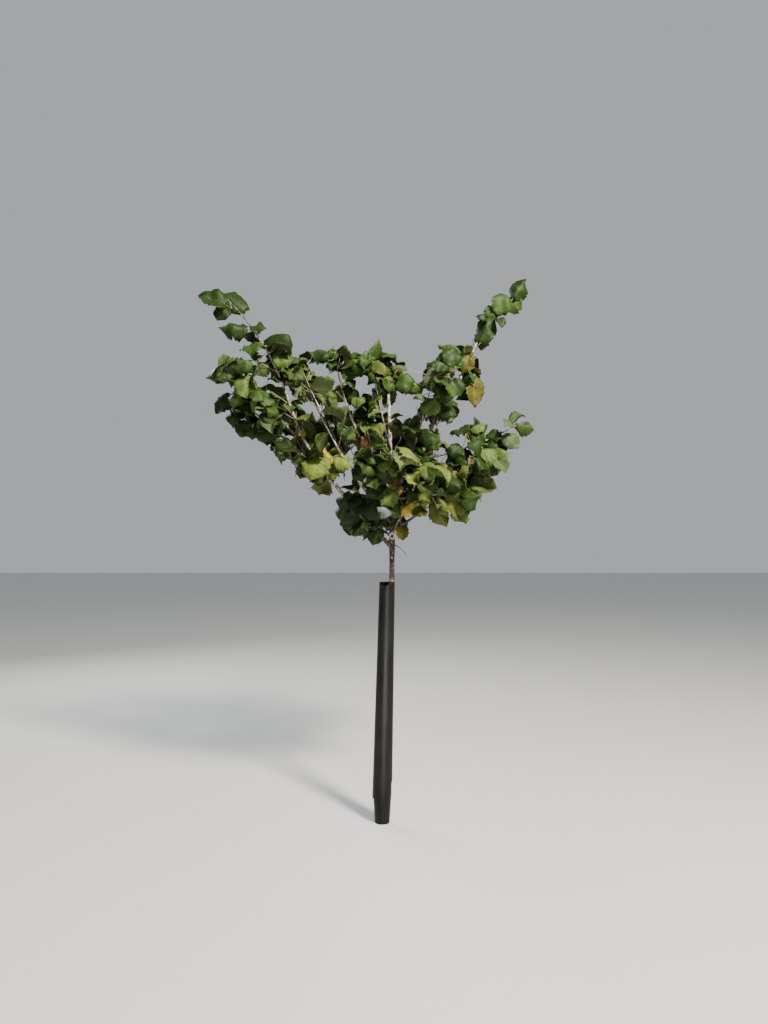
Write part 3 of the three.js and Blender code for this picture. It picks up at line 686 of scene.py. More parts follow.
def place_shown(shown, depth, size, arch, roll):
    """A leaf that falls on its own base and tip pixels, with its base at a depth and at least some size."""
    tip_pixel, fold = shown[2:4], shown[5]
    base = at_pixel(shown[:2], depth)
    reach = np.linalg.norm(at_pixel(tip_pixel, depth) - base)
    length = max(reach, LEAF_LENGTH * size)
    chord = at_pixel(tip_pixel, depth - math.sqrt(length**2 - reach**2)) - base
    open_share = min(max((EDGE_ON_FOLD - fold) / 10, 0.15), 1)
    leaf = leaf_frame(chord, UP * 0.6 + TOWARDS_VIEWER * open_share, roll)
    along, facing = leaf["direction"], leaf["upper"]
    leaf["direction"] = along * math.cos(arch / 2) + facing * math.sin(arch / 2)
    leaf["upper"] = facing * math.cos(arch / 2) - along * math.sin(arch / 2)
    joint = base - leaf["direction"] * LEAF_STALK * length
    leaf.update(joint=joint, base=base, length=length, arch=arch, fold=math.radians(fold), exact=True)
    return leaf


def hidden_by(leaf, wood):
    """Points of the wood in view that a leaf hides past its base."""
    points = np.array([leaf_point(leaf, share, side) for share, side in VIEW_PROBES[4:]])
    near = (np.hypot(*(seen(points)[:, None] - seen(wood)).transpose(2, 0, 1)) < HIDES_WITHIN).any(0)
    return wood[near & (wood[:, 1] > points.mean(0)[1])]


def hang_leaf(dice, shown, stems, stems_seen, wood):
    """A leaf that the picture shows, on a twig from the nearest stem, behind any wood that it would hide."""
    base_pixel, tint, fold = shown[:2], shown[4], shown[5]
    aside = np.hypot(*(stems_seen - base_pixel).T)
    foot = stems[(aside + DEPTH_WEIGHT * stems[:, 1]).argmin()]
    at_tip = any(in_zone(np.array([base_pixel]), zone) for zone in SHOOT_TIPS)
    spread = TIP_ROLL if at_tip else PAINTED_SHADE_ROLL if tint == "shade" else SHOWN_ROLL
    size, roll = dice.between(*SHOWN_SIZES), math.radians(dice.between(-spread, spread))
    arch = math.radians(dice.between(*SHOWN_ARCH) + (ARCHED_MORE if fold > ARCHED_FROM_FOLD else 0))
    before = dice.between(0.0, NEARER_AT_RANDOM) + HUNG_NEARER.get(tint, 0)
    leaf = place_shown(shown, foot[1] - before, size, arch, roll)
    hidden = hidden_by(leaf, wood)
    if len(hidden) and tint != "dry":
        depth = hidden[:, 1].max() + BEHIND_WOOD
        foot = stems[(aside + DEPTH_WEIGHT_BEHIND * np.abs(stems[:, 1] - depth)).argmin()]
        leaf = place_shown(shown, depth, size, arch, roll)
    away = leaf["joint"] - foot
    row = np.array((foot, foot + away * 0.55 + UP * 0.12 * np.linalg.norm(away), leaf["joint"]))
    return {"row": row, "leaves": [leaf], "tint": tint}


def hang_shown_leaves(rows):
    """A spray for each leaf that stands out in the picture."""
    limbs = {name: row if name == "leader" else row[1:] for name, row in rows.items() if name != "low_twig"}
    stretches = [smooth_line(row, 0.01) for row in limbs.values()]
    stretches.append(np.array([trunk_point(z) for z in np.arange(LOWEST_STEM, TRUNK_HEIGHT, 0.01)]))
    stems = np.vstack(stretches)
    stems_seen = seen(stems)
    wood = wood_in_view(rows)
    dice = Dice(9)
    return [hang_leaf(dice, shown, stems, stems_seen, wood) for shown in SHOWN_LEAVES]


def bare_woods(rows):
    """The stretches of bare wood that leaves keep off."""
    heights = np.arange(1.2, TRUNK_HEIGHT, 0.1)
    lines = [(np.array([trunk_point(z) for z in heights]), TRUNK_TIP_RADIUS + 0.004)]
    for name, row in rows.items():
        lines.append((row[: leafy_from(name, row) + 1], LIMBS[name][4]))
    starts = np.vstack([line[:-1] for line, _ in lines])
    ends = np.vstack([line[1:] for line, _ in lines])
    radii = np.concatenate([np.full(len(line) - 1, radius) for line, radius in lines])
    return starts, ends, radii


# Patterns: small closed meshes that are stamped many times, each copy bent to its own place.


class Pattern:
    """The corners and faces of a closed shape made with bmesh, ready to be stamped."""

    def __init__(self, shape):
        bmesh.ops.recalc_face_normals(shape, faces=shape.faces[:])
        shape.verts.index_update()
        self.corners = np.array([v.co[:] for v in shape.verts])
        self.loops = np.array([v.index for f in shape.faces for v in f.verts])
        self.sizes = np.array([len(f.verts) for f in shape.faces])
        self.tints = np.array([f.material_index for f in shape.faces])
        shape.free()


def tube_pattern(sides, rings):
    """A capped tube: x and y run round it, and z counts its rings."""
    shape = bmesh.new()
    bmesh.ops.create_circle(shape, cap_ends=True, segments=sides, radius=1)
    edge = [e for e in shape.edges if e.is_boundary]
    for _ in range(rings - 1):
        grown = bmesh.ops.extrude_edge_only(shape, edges=edge)["geom"]
        moved = [v for v in grown if isinstance(v, bmesh.types.BMVert)]
        bmesh.ops.translate(shape, vec=(0, 0, 1), verts=moved)
        edge = [e for e in grown if isinstance(e, bmesh.types.BMEdge)]
    bmesh.ops.edgeloop_fill(shape, edges=edge)
    return Pattern(shape)


def leaf_pattern():
    """A flat leaf as a thin slab: x counts columns, y counts rows, and z is 1 on top and 0 below."""
    columns = len(LEAF_COLUMNS) - 1
    shape = bmesh.new()
    bmesh.ops.create_grid(shape, x_segments=columns, y_segments=LEAF_ROWS, size=0.5)
    bmesh.ops.scale(shape, vec=(columns, LEAF_ROWS, 1), verts=shape.verts[:])
    bmesh.ops.translate(shape, vec=(columns / 2, LEAF_ROWS / 2, 0), verts=shape.verts[:])
    top = bmesh.ops.extrude_face_region(shape, geom=shape.faces[:])["geom"]
    raised = [v for v in top if isinstance(v, bmesh.types.BMVert)]
    bmesh.ops.translate(shape, vec=(0, 0, 1), verts=raised)
    for face in shape.faces:
        face.material_index = 0 if face.calc_center_median().z > 0.9 else 1
    return Pattern(shape)


def stamp(name, copies, finishes):
    """One mesh of many copies. Each of copies is a pattern, its placed corners and each face's finish."""
    corners = np.concatenate([placed.reshape(-1, 3) for _, placed, _ in copies])
    loops, sizes, tints, first = [], [], [], 0
    for pattern, placed, tint in copies:
        starts = first + np.arange(len(placed)) * len(pattern.corners)
        loops.append((starts[:, None] + pattern.loops).ravel())
        sizes.append(np.tile(pattern.sizes, len(placed)))
        tints.append(tint.ravel())
        first += len(placed) * len(pattern.corners)
    loops, sizes, tints = np.concatenate(loops), np.concatenate(sizes), np.concatenate(tints)
    mesh = bpy.data.meshes.new(name)
    mesh.vertices.add(len(corners))
    mesh.vertices.foreach_set("co", corners.astype(np.float32).ravel())
    mesh.loops.add(len(loops))
    mesh.loops.foreach_set("vertex_index", loops)
    mesh.polygons.add(len(sizes))
    mesh.polygons.foreach_set("loop_start", np.concatenate(((0,), np.cumsum(sizes)[:-1])))
    mesh.polygons.foreach_set("material_index", tints)
    mesh.polygons.foreach_set("use_smooth", np.ones(len(sizes), bool))
    for finish in finishes:
        mesh.materials.append(finish)
    mesh.update(calc_edges=True)
    mesh.validate()
    return show(name, mesh)


def show(name, mesh):
    piece = bpy.data.objects.new(name, mesh)
    bpy.context.scene.collection.objects.link(piece)
    return piece


def tube_places(pattern, lines, radii):
    """Where a tube pattern's corners go along each of several lines with as many points as it has rings."""
    lines, radii = np.array(lines), np.array(radii)
    ahead = np.gradient(lines, axis=1)
    ahead /= np.linalg.norm(ahead, axis=2, keepdims=True)
    sides = np.empty_like(ahead)
    upright = np.abs(ahead[:, 0, 2:]) > 0.9
    side = np.where(upright, np.array((1.0, 0.0, 0.0)), UP)
    for i in range(lines.shape[1]):
        side = side - ahead[:, i] * (side * ahead[:, i]).sum(1, keepdims=True)
        side = side / np.linalg.norm(side, axis=1, keepdims=True)
        sides[:, i] = side
    across = np.cross(ahead, sides)
    ring = np.rint(pattern.corners[:, 2]).astype(int)
    x, y = pattern.corners[:, 0, None], pattern.corners[:, 1, None]
    return lines[:, ring] + radii[:, ring, None] * (x * sides[:, ring] + y * across[:, ring])


def one_finish(pattern, count):
    """The same finish for every face of some copies of a pattern."""
    return np.zeros((count, len(pattern.sizes)), int)


# Leaves.

LEAF_ROW_SHARES = np.linspace(0, 1, LEAF_ROWS + 1) ** 0.92


def dented(depths, share, side):
    """Soft dents in each leaf, from random depths at the corners of a coarse grid over it."""
    rows, columns = depths.shape[1] - 1, depths.shape[2] - 1
    down = np.clip(share, 0, 0.999) * rows
    over = np.clip(side + 0.5, 0, 0.999) * columns
    leaf, i, j = np.arange(len(depths))[:, None], down.astype(int), over.astype(int)
    a, b = smoothstep(down - i, 0, 1), smoothstep(over - j, 0, 1)
    near = depths[leaf, i, j] * (1 - b) + depths[leaf, i, j + 1] * b
    far = depths[leaf, i + 1, j] * (1 - b) + depths[leaf, i + 1, j + 1] * b
    return near * (1 - a) + far * a


def leaf_places(pattern, leaves, chance):
    """Where a leaf pattern's corners go: outline, teeth, pleats, fold, cup, waves, dents and curled tip."""
    column = np.rint(pattern.corners[:, 0]).astype(int)
    row = np.rint(pattern.corners[:, 1]).astype(int)
    width = np.array(LEAF_COLUMNS)[column]
    middle = LEAF_ROW_SHARES[row]
    slant = np.where(row == 0, -BASE_LOBE, VEIN_SLANT * np.sin(np.pi * middle**0.8))
    share = np.minimum(middle + slant * np.abs(width) ** 0.8, 1)
    even = np.where(row % 2 == 0, 1.0, -1.0)
    half = (width > 0).astype(int)
    ragged = chance.uniform(-RAGGED, RAGGED, (len(leaves), 2, LEAF_ROWS + 1))[:, half, row]
    lobes = LOBE * np.cos(2 * np.pi * middle * LOBES + chance.uniform(-0.6, 0.6, (len(leaves), 1)))
    tooth = 1 + (TOOTH * even + ragged + lobes * smoothstep(middle, 0.1, 0.4)) * (np.abs(width) == 1)
    loose = np.array([0.0 if leaf.get("exact") else 1.0 for leaf in leaves])[:, None]
    keys = ("length", "arch", "fold", "base", "direction", "upper", "across")
    columns = (np.array([leaf[key] for leaf in leaves])[:, None] for key in keys)
    length, arch, fold, base, direction, upper, across = columns
    slim = EXACT_WIDTH * np.minimum(1, EXACT_FULL_LENGTH / length)
    side = width * np.interp(share, LEAF_SHARES, LEAF_WIDTHS) * tooth * mix(slim, 1, loose)
    inner = np.sin(np.pi * np.abs(width)) + 0.4 * (np.abs(width) == 1)
    relief = -PLEAT * even * inner * np.sin(np.pi * np.clip(share, 0, 1))
    relief = relief - MIDRIB_GROOVE * (np.abs(width) < 0.1)

    def thrown(low, high):
        return chance.uniform(low, high, (len(leaves), 1))

    length = length * mix(1, LEAF_GROWTH, loose)
    arch = arch * mix(1, thrown(*ARCH_THROWN), loose)
    fold = fold * mix(chance.choice(SHOWN_FOLDS, (len(leaves), 1)), thrown(*FOLD_THROWN), loose)
    fold = np.clip(fold, -math.radians(FOLD_LIMIT), math.radians(FOLD_LIMIT))
    steady = mix(STEADY, 1, loose)
    cup, wave, phase = thrown(*CUP) * steady, thrown(*WAVE), thrown(0, 2 * math.pi)
    curl, twist = thrown(*CURL) * steady, thrown(*TWIST) * steady
    dents = dented(chance.normal(0, DENT, (len(leaves), 5, 5)), share, side)
    bend = arch * np.clip(share, 0, 1)
    forward = np.where(share < 0, share, np.sin(bend) / arch)[..., None]
    down = ((np.cos(bend) - 1) / arch)[..., None]
    rise = upper * np.cos(bend)[..., None] + direction * np.sin(bend)[..., None]
    lean = (twist * share)[..., None]
    level = across * np.cos(lean) + rise * np.sin(lean)
    rise = rise * np.cos(lean) - across * np.sin(lean)
    lift = np.abs(side) * np.sin(fold) + cup * side**2 + relief
    ripple = np.sin(2 * np.pi * EDGE_WAVES * share + phase + 2.1 * np.sign(width))
    lift = lift + wave * np.abs(width) ** 1.5 * ripple
    lift = lift - curl * np.maximum(share - 0.5, 0) ** 2
    lift = lift + dents * smoothstep(share, 0, 0.15)
    offset = direction * forward + upper * down
    offset = offset + level * (side * np.cos(fold))[..., None] + rise * lift[..., None]
    blade = base + length[..., None] * offset
    grid = np.empty((len(leaves), LEAF_ROWS + 1, len(LEAF_COLUMNS), 3))
    grid[:, row, column] = blade
    along, over = np.gradient(grid, axis=(1, 2))
    normal = np.cross(over, along)
    normal /= np.maximum(np.linalg.norm(normal, axis=3, keepdims=True), 1e-12)
    above = (pattern.corners[:, 2] - 0.5) * LEAF_THICKNESS
    return blade + normal[:, row, column] * above[:, None]


# Finishes.


class Value:
    """An output of a node that arithmetic can be done with."""

    def __init__(self, finish, socket):
        self.finish, self.socket = finish, socket

    def math(self, operation, *others):
        return self.finish.node("ShaderNodeMath", {"operation": operation}, dict(enumerate((self, *others))))

    def __add__(self, other):
        return self.math("ADD", other)

    def __rsub__(self, other):
        return self.math("MULTIPLY_ADD", -1.0, other)

    def __mul__(self, other):
        return self.math("MULTIPLY", other)

    __radd__ = __add__
    __rmul__ = __mul__


class Finish:
    """A material whose nodes are added one by one."""

    def __init__(self, name, **surface):
        self.material = bpy.data.materials.new(name)
        self.material.use_nodes = True
        self.tree = self.material.node_tree
        self.surface = self.tree.nodes["Principled BSDF"]
        for socket, value in surface.items():
            self.feed(self.surface.inputs[socket.replace("_", " ")], value)

    def feed(self, socket, value):
        if isinstance(value, Value):
            self.tree.links.new(value.socket, socket)
        elif socket.type == "RGBA" and len(value) == 3:
            socket.default_value = (*value, 1)
        else:
            socket.default_value = value

    def node(self, kind, settings=None, sockets=None, out=0):
        made = self.tree.nodes.new(kind)
        for key, value in (settings or {}).items():
            if key == "stops":
                set_stops(made.color_ramp, value)
            else:
                setattr(made, key, value)
        for key, value in (sockets or {}).items():
            self.feed(made.inputs[key], value)
        return Value(self, made.outputs[out])

    def give(self, socket, value):
        self.feed(self.surface.inputs[socket], value)

    def noise(self, where, scale, detail=3, roughness=0.5):
        sockets = {"Vector": where, "Scale": scale, "Detail": detail, "Roughness": roughness}
        return self.node("ShaderNodeTexNoise", None, sockets)

    def stretched(self, scale):
        """Object coordinates, stretched along each axis."""
        where = self.node("ShaderNodeTexCoord", out="Object")
        return self.node("ShaderNodeMapping", None, {"Vector": where, "Scale": scale})

    def ramp(self, value, stops):
        return self.node("ShaderNodeValToRGB", {"stops": stops}, {"Fac": value})

    def blend(self, share, low, high, how="MIX"):
        settings = {"data_type": "RGBA", "blend_type": how}
        return self.node("ShaderNodeMix", settings, {0: share, 6: low, 7: high}, 2)

    def attribute(self, name):
        return self.node("ShaderNodeAttribute", {"attribute_name": name}, out="Fac")

    def relief(self, height, strength, distance):
        sockets = {"Height": height, "Strength": strength, "Distance": distance}
        self.give("Normal", self.node("ShaderNodeBump", None, sockets))


def set_stops(ramp, stops):
    while len(ramp.elements) < len(stops):
        ramp.elements.new(0.5)
    for element, (place, colour) in zip(ramp.elements, stops):
        element.position = place
        element.color = (*colour, 1)


# Colours along the ramps of the bark, where it is old and where it is young, and of the guard.
BLACK, WHITE = (0, 0, 0), (1, 1, 1)
OLD_BARK = (
    (0.40, (0.008, 0.005, 0.003)), (0.56, (0.022, 0.012, 0.006)), (0.70, (0.085, 0.048, 0.027)),
)
YOUNG_BARK = (
    (0.38, (0.040, 0.030, 0.022)), (0.48, (0.36, 0.30, 0.245)), (0.62, (0.72, 0.67, 0.61)),
)
BLACK_SHEET = ((0.38, (0.0020, 0.0021, 0.0020)), (0.62, (0.0078, 0.0076, 0.0068)))


def bark_finish():
    """Grey-brown bark: paler with height, with pale patches, dark flecks and cross lines."""
    finish = Finish("hazel_bark", Roughness=0.78)
    level = finish.stretched((1, 1, 1))
    patches = finish.noise(level, 42, 5, 0.62)
    blotches = finish.noise(finish.stretched((1, 1, 0.45)), 80, 4, 0.62)
    specks = finish.ramp(finish.noise(level, 95, 3, 0.6), ((0.57, BLACK), (0.63, WHITE)))
    flecks = finish.noise(finish.stretched((1, 1, 0.35)), 190, 3, 0.6)
    lines = finish.noise(finish.stretched((1, 1, 5.5)), 60, 3, 0.55)
    old = finish.ramp(patches, OLD_BARK)
    old = finish.blend(specks * 0.75, old, (0.42, 0.30, 0.25))
    skin = finish.blend(finish.attribute("youth"), old, finish.ramp(blotches, YOUNG_BARK))
    dark = finish.ramp(flecks, ((0.36, (0.35, 0.32, 0.30)), (0.50, WHITE)))
    cross = finish.ramp(lines, ((0.34, (0.52, 0.48, 0.45)), (0.44, WHITE)))
    marked = finish.blend(1.0, skin, dark, "MULTIPLY")
    marked = finish.blend(0.8, marked, cross, "MULTIPLY")
    finish.give("Base Color", finish.blend(finish.attribute("scar"), marked, (0.55, 0.40, 0.34)))
    finish.give("Roughness", 0.9 - 0.28 * patches)
    finish.relief(flecks + lines * 0.7 + patches, 0.5, 0.0012)
    return finish.material


def leaf_finish(name, colour, vein, roughness):
    """A blade's plain colour, clouded a little, with paler veins along its pleats."""
    finish = Finish(name, Specular_IOR_Level=0.15)
    cloud = finish.noise(finish.stretched((1, 1, 1)), 38, 3, 0.6)
    darker = tuple(0.72 * part for part in colour)
    paler = tuple(1.25 * part for part in colour)
    blade = finish.ramp(cloud, ((0.34, darker), (0.66, paler)))
    line = finish.ramp(finish.attribute("vein"), ((0.78, BLACK), (0.97, (0.7, 0.7, 0.7))))
    finish.give("Base Color", finish.blend(line, blade, vein))
    finish.give("Roughness", roughness + 0.2 * cloud)
    return finish.material


def shoot_finish():
    finish = Finish("young_shoot", Roughness=0.55)
    tone = finish.noise(finish.stretched((1, 1, 1)), 60, 3)
    finish.give("Base Color", finish.ramp(tone, ((0.35, (0.17, 0.125, 0.070)), (0.65, (0.36, 0.30, 0.17)))))
    return finish.material


def guard_finish():
    """Black sheet: satin, dulled by dust in soft upright streaks."""
    finish = Finish("black_guard_sheet", Specular_IOR_Level=0.15)
    streaks = finish.noise(finish.stretched((1, 1, 0.06)), 55, 4, 0.6)
    dust = finish.noise(finish.stretched((1, 1, 1)), 9, 5, 0.65)
    finish.give("Base Color", finish.ramp(streaks * 0.5 + dust * 0.5, BLACK_SHEET))
    finish.give("Roughness", 0.38 + 0.18 * dust)
    finish.relief(streaks, 0.18, 0.0008)
    return finish.material


def floor_finish():
    return Finish("pale_floor", Base_Color=(0.62, 0.62, 0.60), Roughness=0.9).material


# Tints of the leaves: the colour above and the colour below.
TINTS = {
    "deep": ((0.0120, 0.028, 0.0022), (0.034, 0.054, 0.010)),
    # Painted shadow: the darkest tint stands in for the crown's shadow over the dark cluster at its foot.
    "shade": ((0.0070, 0.016, 0.0010), (0.018, 0.029, 0.004)),
    "green": ((0.027, 0.055, 0.0080), (0.054, 0.081, 0.020)),
    "bright": ((0.062, 0.098, 0.0180), (0.088, 0.118, 0.036)),
    "grey": ((0.058, 0.080, 0.028), (0.082, 0.104, 0.042)),
    "olive": ((0.066, 0.080, 0.014), (0.088, 0.100, 0.030)),
    "lime": ((0.110, 0.145, 0.022), (0.130, 0.155, 0.040)),
    "yellow": ((0.330, 0.260, 0.034), (0.320, 0.260, 0.064)),
    "ochre": ((0.066, 0.060, 0.006), (0.090, 0.080, 0.018)),
    "amber": ((0.115, 0.055, 0.022), (0.140, 0.080, 0.040)),
    "dry": ((0.115, 0.135, 0.130), (0.100, 0.115, 0.110)),
}
TINT_NAMES = list(TINTS)

# What sprays draw their tint from, and the share of them that turn in the places where leaves turn first.
GREENS = ("deep", "deep", "deep", "green", "green", "green", "bright", "bright", "olive", "grey")
TURNED_SHARE = 0.6

# A leaf's two sides: what its blade's colour is multiplied by and what is added for the veins, and how rough
# it is.
LEAF_SIDES = {"top": (1.5, 0.008, 0.42), "under": (1.4, 0.014, 0.58)}


def spray_tint(middle, dice):
    """The tint that a spray's leaves share, from where it hangs or from a throw."""
    tint = GREENS[int(dice.throw() * len(GREENS))]
    turning = dice.throw() < TURNED_SHARE
    turned_to = [name for place, reach, name in TURNING if np.linalg.norm(middle - np.array(place)) < reach]
    return turned_to[0] if turned_to and turning else tint


def leaf_tints(pattern, tints):
    """Each face's finish: a tint's top and underside lie next to each other."""
    index = np.array([TINT_NAMES.index(tint) for tint in tints])[:, None]
    return 2 * index + pattern.tints


def leaf_finishes():
    """The finishes of the upper side and the underside, for each tint in turn."""
    finishes = []
    for name, colours in TINTS.items():
        for (side, (factor, added, roughness)), blade in zip(LEAF_SIDES.items(), colours):
            vein = tuple(factor * part + added for part in blade)
            finishes.append(leaf_finish(f"leaf_{name}_{side}", blade, vein, roughness))
    return finishes


# Wood with relief.


def wood_relief(points, strength):
    """How far bark stands out at each point: low ridges with finer grain over them."""
    ridges = [noise.noise(Vector((90 * x, 90 * y, 22 * z))) for x, y, z in points]
    grain = [noise.noise(Vector((260 * x, 260 * y, 300 * z))) for x, y, z in points]
    return strength * (0.7 * np.array(ridges) + 0.5 * np.array(grain))


def wood_tube(line, radii, sides):
    """A tube of wood: its pattern, its corners, the ring that each is on, and its way out of the wood."""
    pattern = tube_pattern(sides, len(line))
    places = tube_places(pattern, [line], [radii])[0]
    ring = np.rint(pattern.corners[:, 2]).astype(int)
    outward = places - line[ring]
    return pattern, places, ring, outward / np.linalg.norm(outward, axis=1, keepdims=True)


def add_attribute(piece, name, values):
    """A value at each of the piece's corners, for its finish to read."""
    made = piece.data.attributes.new(name, "FLOAT", "POINT")
    made.data.foreach_set("value", np.asarray(values, np.float32))


def make_trunk(bark):
    """The trunk's bark from its cut foot to its tip, with relief and the scar."""
    low = np.arange(0, GUARD_TOP - 0.06, TRUNK_RING_GAP_IN_GUARD)
    heights = np.append(low, np.arange(low[-1] + 0.02, TRUNK_HEIGHT, TRUNK_RING_GAP))
    heights[-1] = TRUNK_HEIGHT
    line = np.array([trunk_point(z) for z in heights])
    radii = np.array([trunk_radius(z) for z in heights])
    pattern, places, ring, outward = wood_tube(line, radii, TRUNK_SIDES)
    angle = math.radians(SCAR_ANGLE)
    facing = np.array((math.cos(angle), math.sin(angle), 0))
    centre = trunk_point(SCAR_HEIGHT) + facing * trunk_radius(SCAR_HEIGHT)
    way = np.linalg.norm((places - centre) * (1.0, 0.55, 0.85), axis=1)
    edge = np.exp(-(((way - SCAR_RADIUS) / SCAR_EDGE_WIDTH) ** 2))
    inside = 1 - smoothstep(way, SCAR_RADIUS * 0.5, SCAR_RADIUS)
    rise = wood_relief(places, TRUNK_RELIEF) + SCAR_EDGE_RISE * edge - SCAR_DEPTH * inside
    on_side = (ring > 0) & (ring < len(heights) - 1)
    places = places + outward * (rise * on_side)[:, None]
    places[:, 2] = np.maximum(places[:, 2], 0)
    piece = stamp("trunk_bark", [(pattern, places[None], one_finish(pattern, 1))], [bark])
    add_attribute(piece, "youth", smoothstep(places[:, 2], *YOUNG_TRUNK))
    add_attribute(piece, "scar", np.clip(edge * 1.1 - inside * 0.8, 0, 1))
    return piece


def make_limbs(bark, rows):
    """Every limb's wood from its foot to its tip, with a collar where it leaves its parent."""
    copies, youth = [], []
    for name, row in rows.items():
        radius, bare = LIMBS[name][4:6]
        line = smooth_line(row, LIMB_RING_GAP)
        share = np.linspace(0, 1, len(line))
        way = share * len(line) * LIMB_RING_GAP
        collar = 1 + FOOT_COLLAR * np.exp(-((way / FOOT_COLLAR_LENGTH) ** 2))
        thickness = mix(radius, STEM_RADIUS if bare < 1 else TWIG_TIP_RADIUS, share) * collar
        pattern, places, ring, outward = wood_tube(line, thickness, LIMB_SIDES)
        rise = wood_relief(places, LIMB_RELIEF) * (thickness[ring] / 0.012) ** 0.6
        places = places + outward * rise[:, None]
        copies.append((pattern, places[None], one_finish(pattern, 1)))
        green_tip = 0.8 * smoothstep(share[ring], 0.7, 1.0)
        paleness = 1 if bare < 1 else 0.25
        youth.append(smoothstep(share[ring], 0.1, 0.6) * (1 - green_tip) * paleness)
    piece = stamp("limb_bark", copies, [bark])
    add_attribute(piece, "youth", np.concatenate(youth))
    add_attribute(piece, "scar", np.zeros(len(piece.data.vertices)))
    return piece


# Guard.


def guard_share(z):
    return (z - GUARD_EDGE) / (GUARD_TOP - GUARD_EDGE)


def guard_radius(z):
    return mix(GUARD_EDGE_RADIUS, GUARD_TOP_RADIUS, guard_share(z))


def guard_middle(z):
    """Where the middle of the guard is: over the origin at its edge, and leaning on the trunk at its top."""
    trunk = trunk_point(GUARD_TOP)
    wall = GUARD_TOP_RADIUS - 2 * SHEET - ROLL_GAP
    leaning = trunk[0] + trunk_radius(GUARD_TOP) + GAP - FLATS - wall
    share = np.maximum(guard_share(z), 0)
    return leaning * share, trunk[1] * share


def punched_sheet(columns, rows, width, height, holes):
    """A flat sheet on a grid, with a round hole about the corner nearest to each of some places."""
    sheet = bmesh.new()
    bmesh.ops.create_grid(sheet, x_segments=columns, y_segments=rows, size=0.5)
    bmesh.ops.translate(sheet, vec=(0.5, 0.5, 0), verts=sheet.verts[:])
    bmesh.ops.scale(sheet, vec=(width, height, 1), verts=sheet.verts[:])
    for x, y, radius in holes:
        corner = min(sheet.verts, key=lambda v: (v.co - Vector((x * width, y * height, 0))).length_squared)
        cut = bmesh.ops.bevel(
            sheet, geom=[corner], offset=radius, segments=3, profile=0.5, affect="VERTICES", material=-1
        )
        bmesh.ops.delete(sheet, geom=[max(cut["faces"], key=lambda f: f.calc_area())], context="FACES_ONLY")
    bmesh.ops.scale(sheet, vec=(1 / width, 1 / height, 1), verts=sheet.verts[:])
    return sheet


def roll(sheet, middle_of, radius_of, height_of, dents):
    """Bends a flat sheet round an upright line, so that its width runs round and overlaps itself."""
    turn = 360 + ROLL_OVERLAP
    depth = SHEET + ROLL_GAP
    for corner in sheet.verts:
        round_, up = corner.co.x, corner.co.y
        angle = ROLL_START + round_ * turn
        z = height_of(angle, up)
        x, y = middle_of(z)
        radius = radius_of(z) - (1 - round_) * depth * turn / 360 - SHEET + dents(angle, z, round_)
        turned_by = math.radians(angle)
        corner.co = (x + radius * math.cos(turned_by), y + radius * math.sin(turned_by), z)
    return sheet


def sheet_piece(name, sheet, finish):
    """The rolled sheet as a piece with its thickness outwards and its edges softened."""
    bmesh.ops.recalc_face_normals(sheet, faces=sheet.faces[:])
    face = max(sheet.faces, key=lambda f: f.calc_center_median().x)
    if face.normal.x < 0:
        bmesh.ops.reverse_faces(sheet, faces=sheet.faces[:])
    mesh = bpy.data.meshes.new(name)
    sheet.to_mesh(mesh)
    sheet.free()
    mesh.materials.append(finish)
    mesh.polygons.foreach_set("use_smooth", np.ones(len(mesh.polygons), bool))
    piece = show(name, mesh)
    wall = piece.modifiers.new("wall", "SOLIDIFY")
    wall.thickness = SHEET
    wall.offset = 1
    wall.use_even_offset = True
    edge = piece.modifiers.new("edge", "BEVEL")
    edge.width = EDGE_SOFTNESS
    edge.segments = 2
    edge.limit_method = "ANGLE"
    edge.angle_limit = math.radians(50)
    return piece


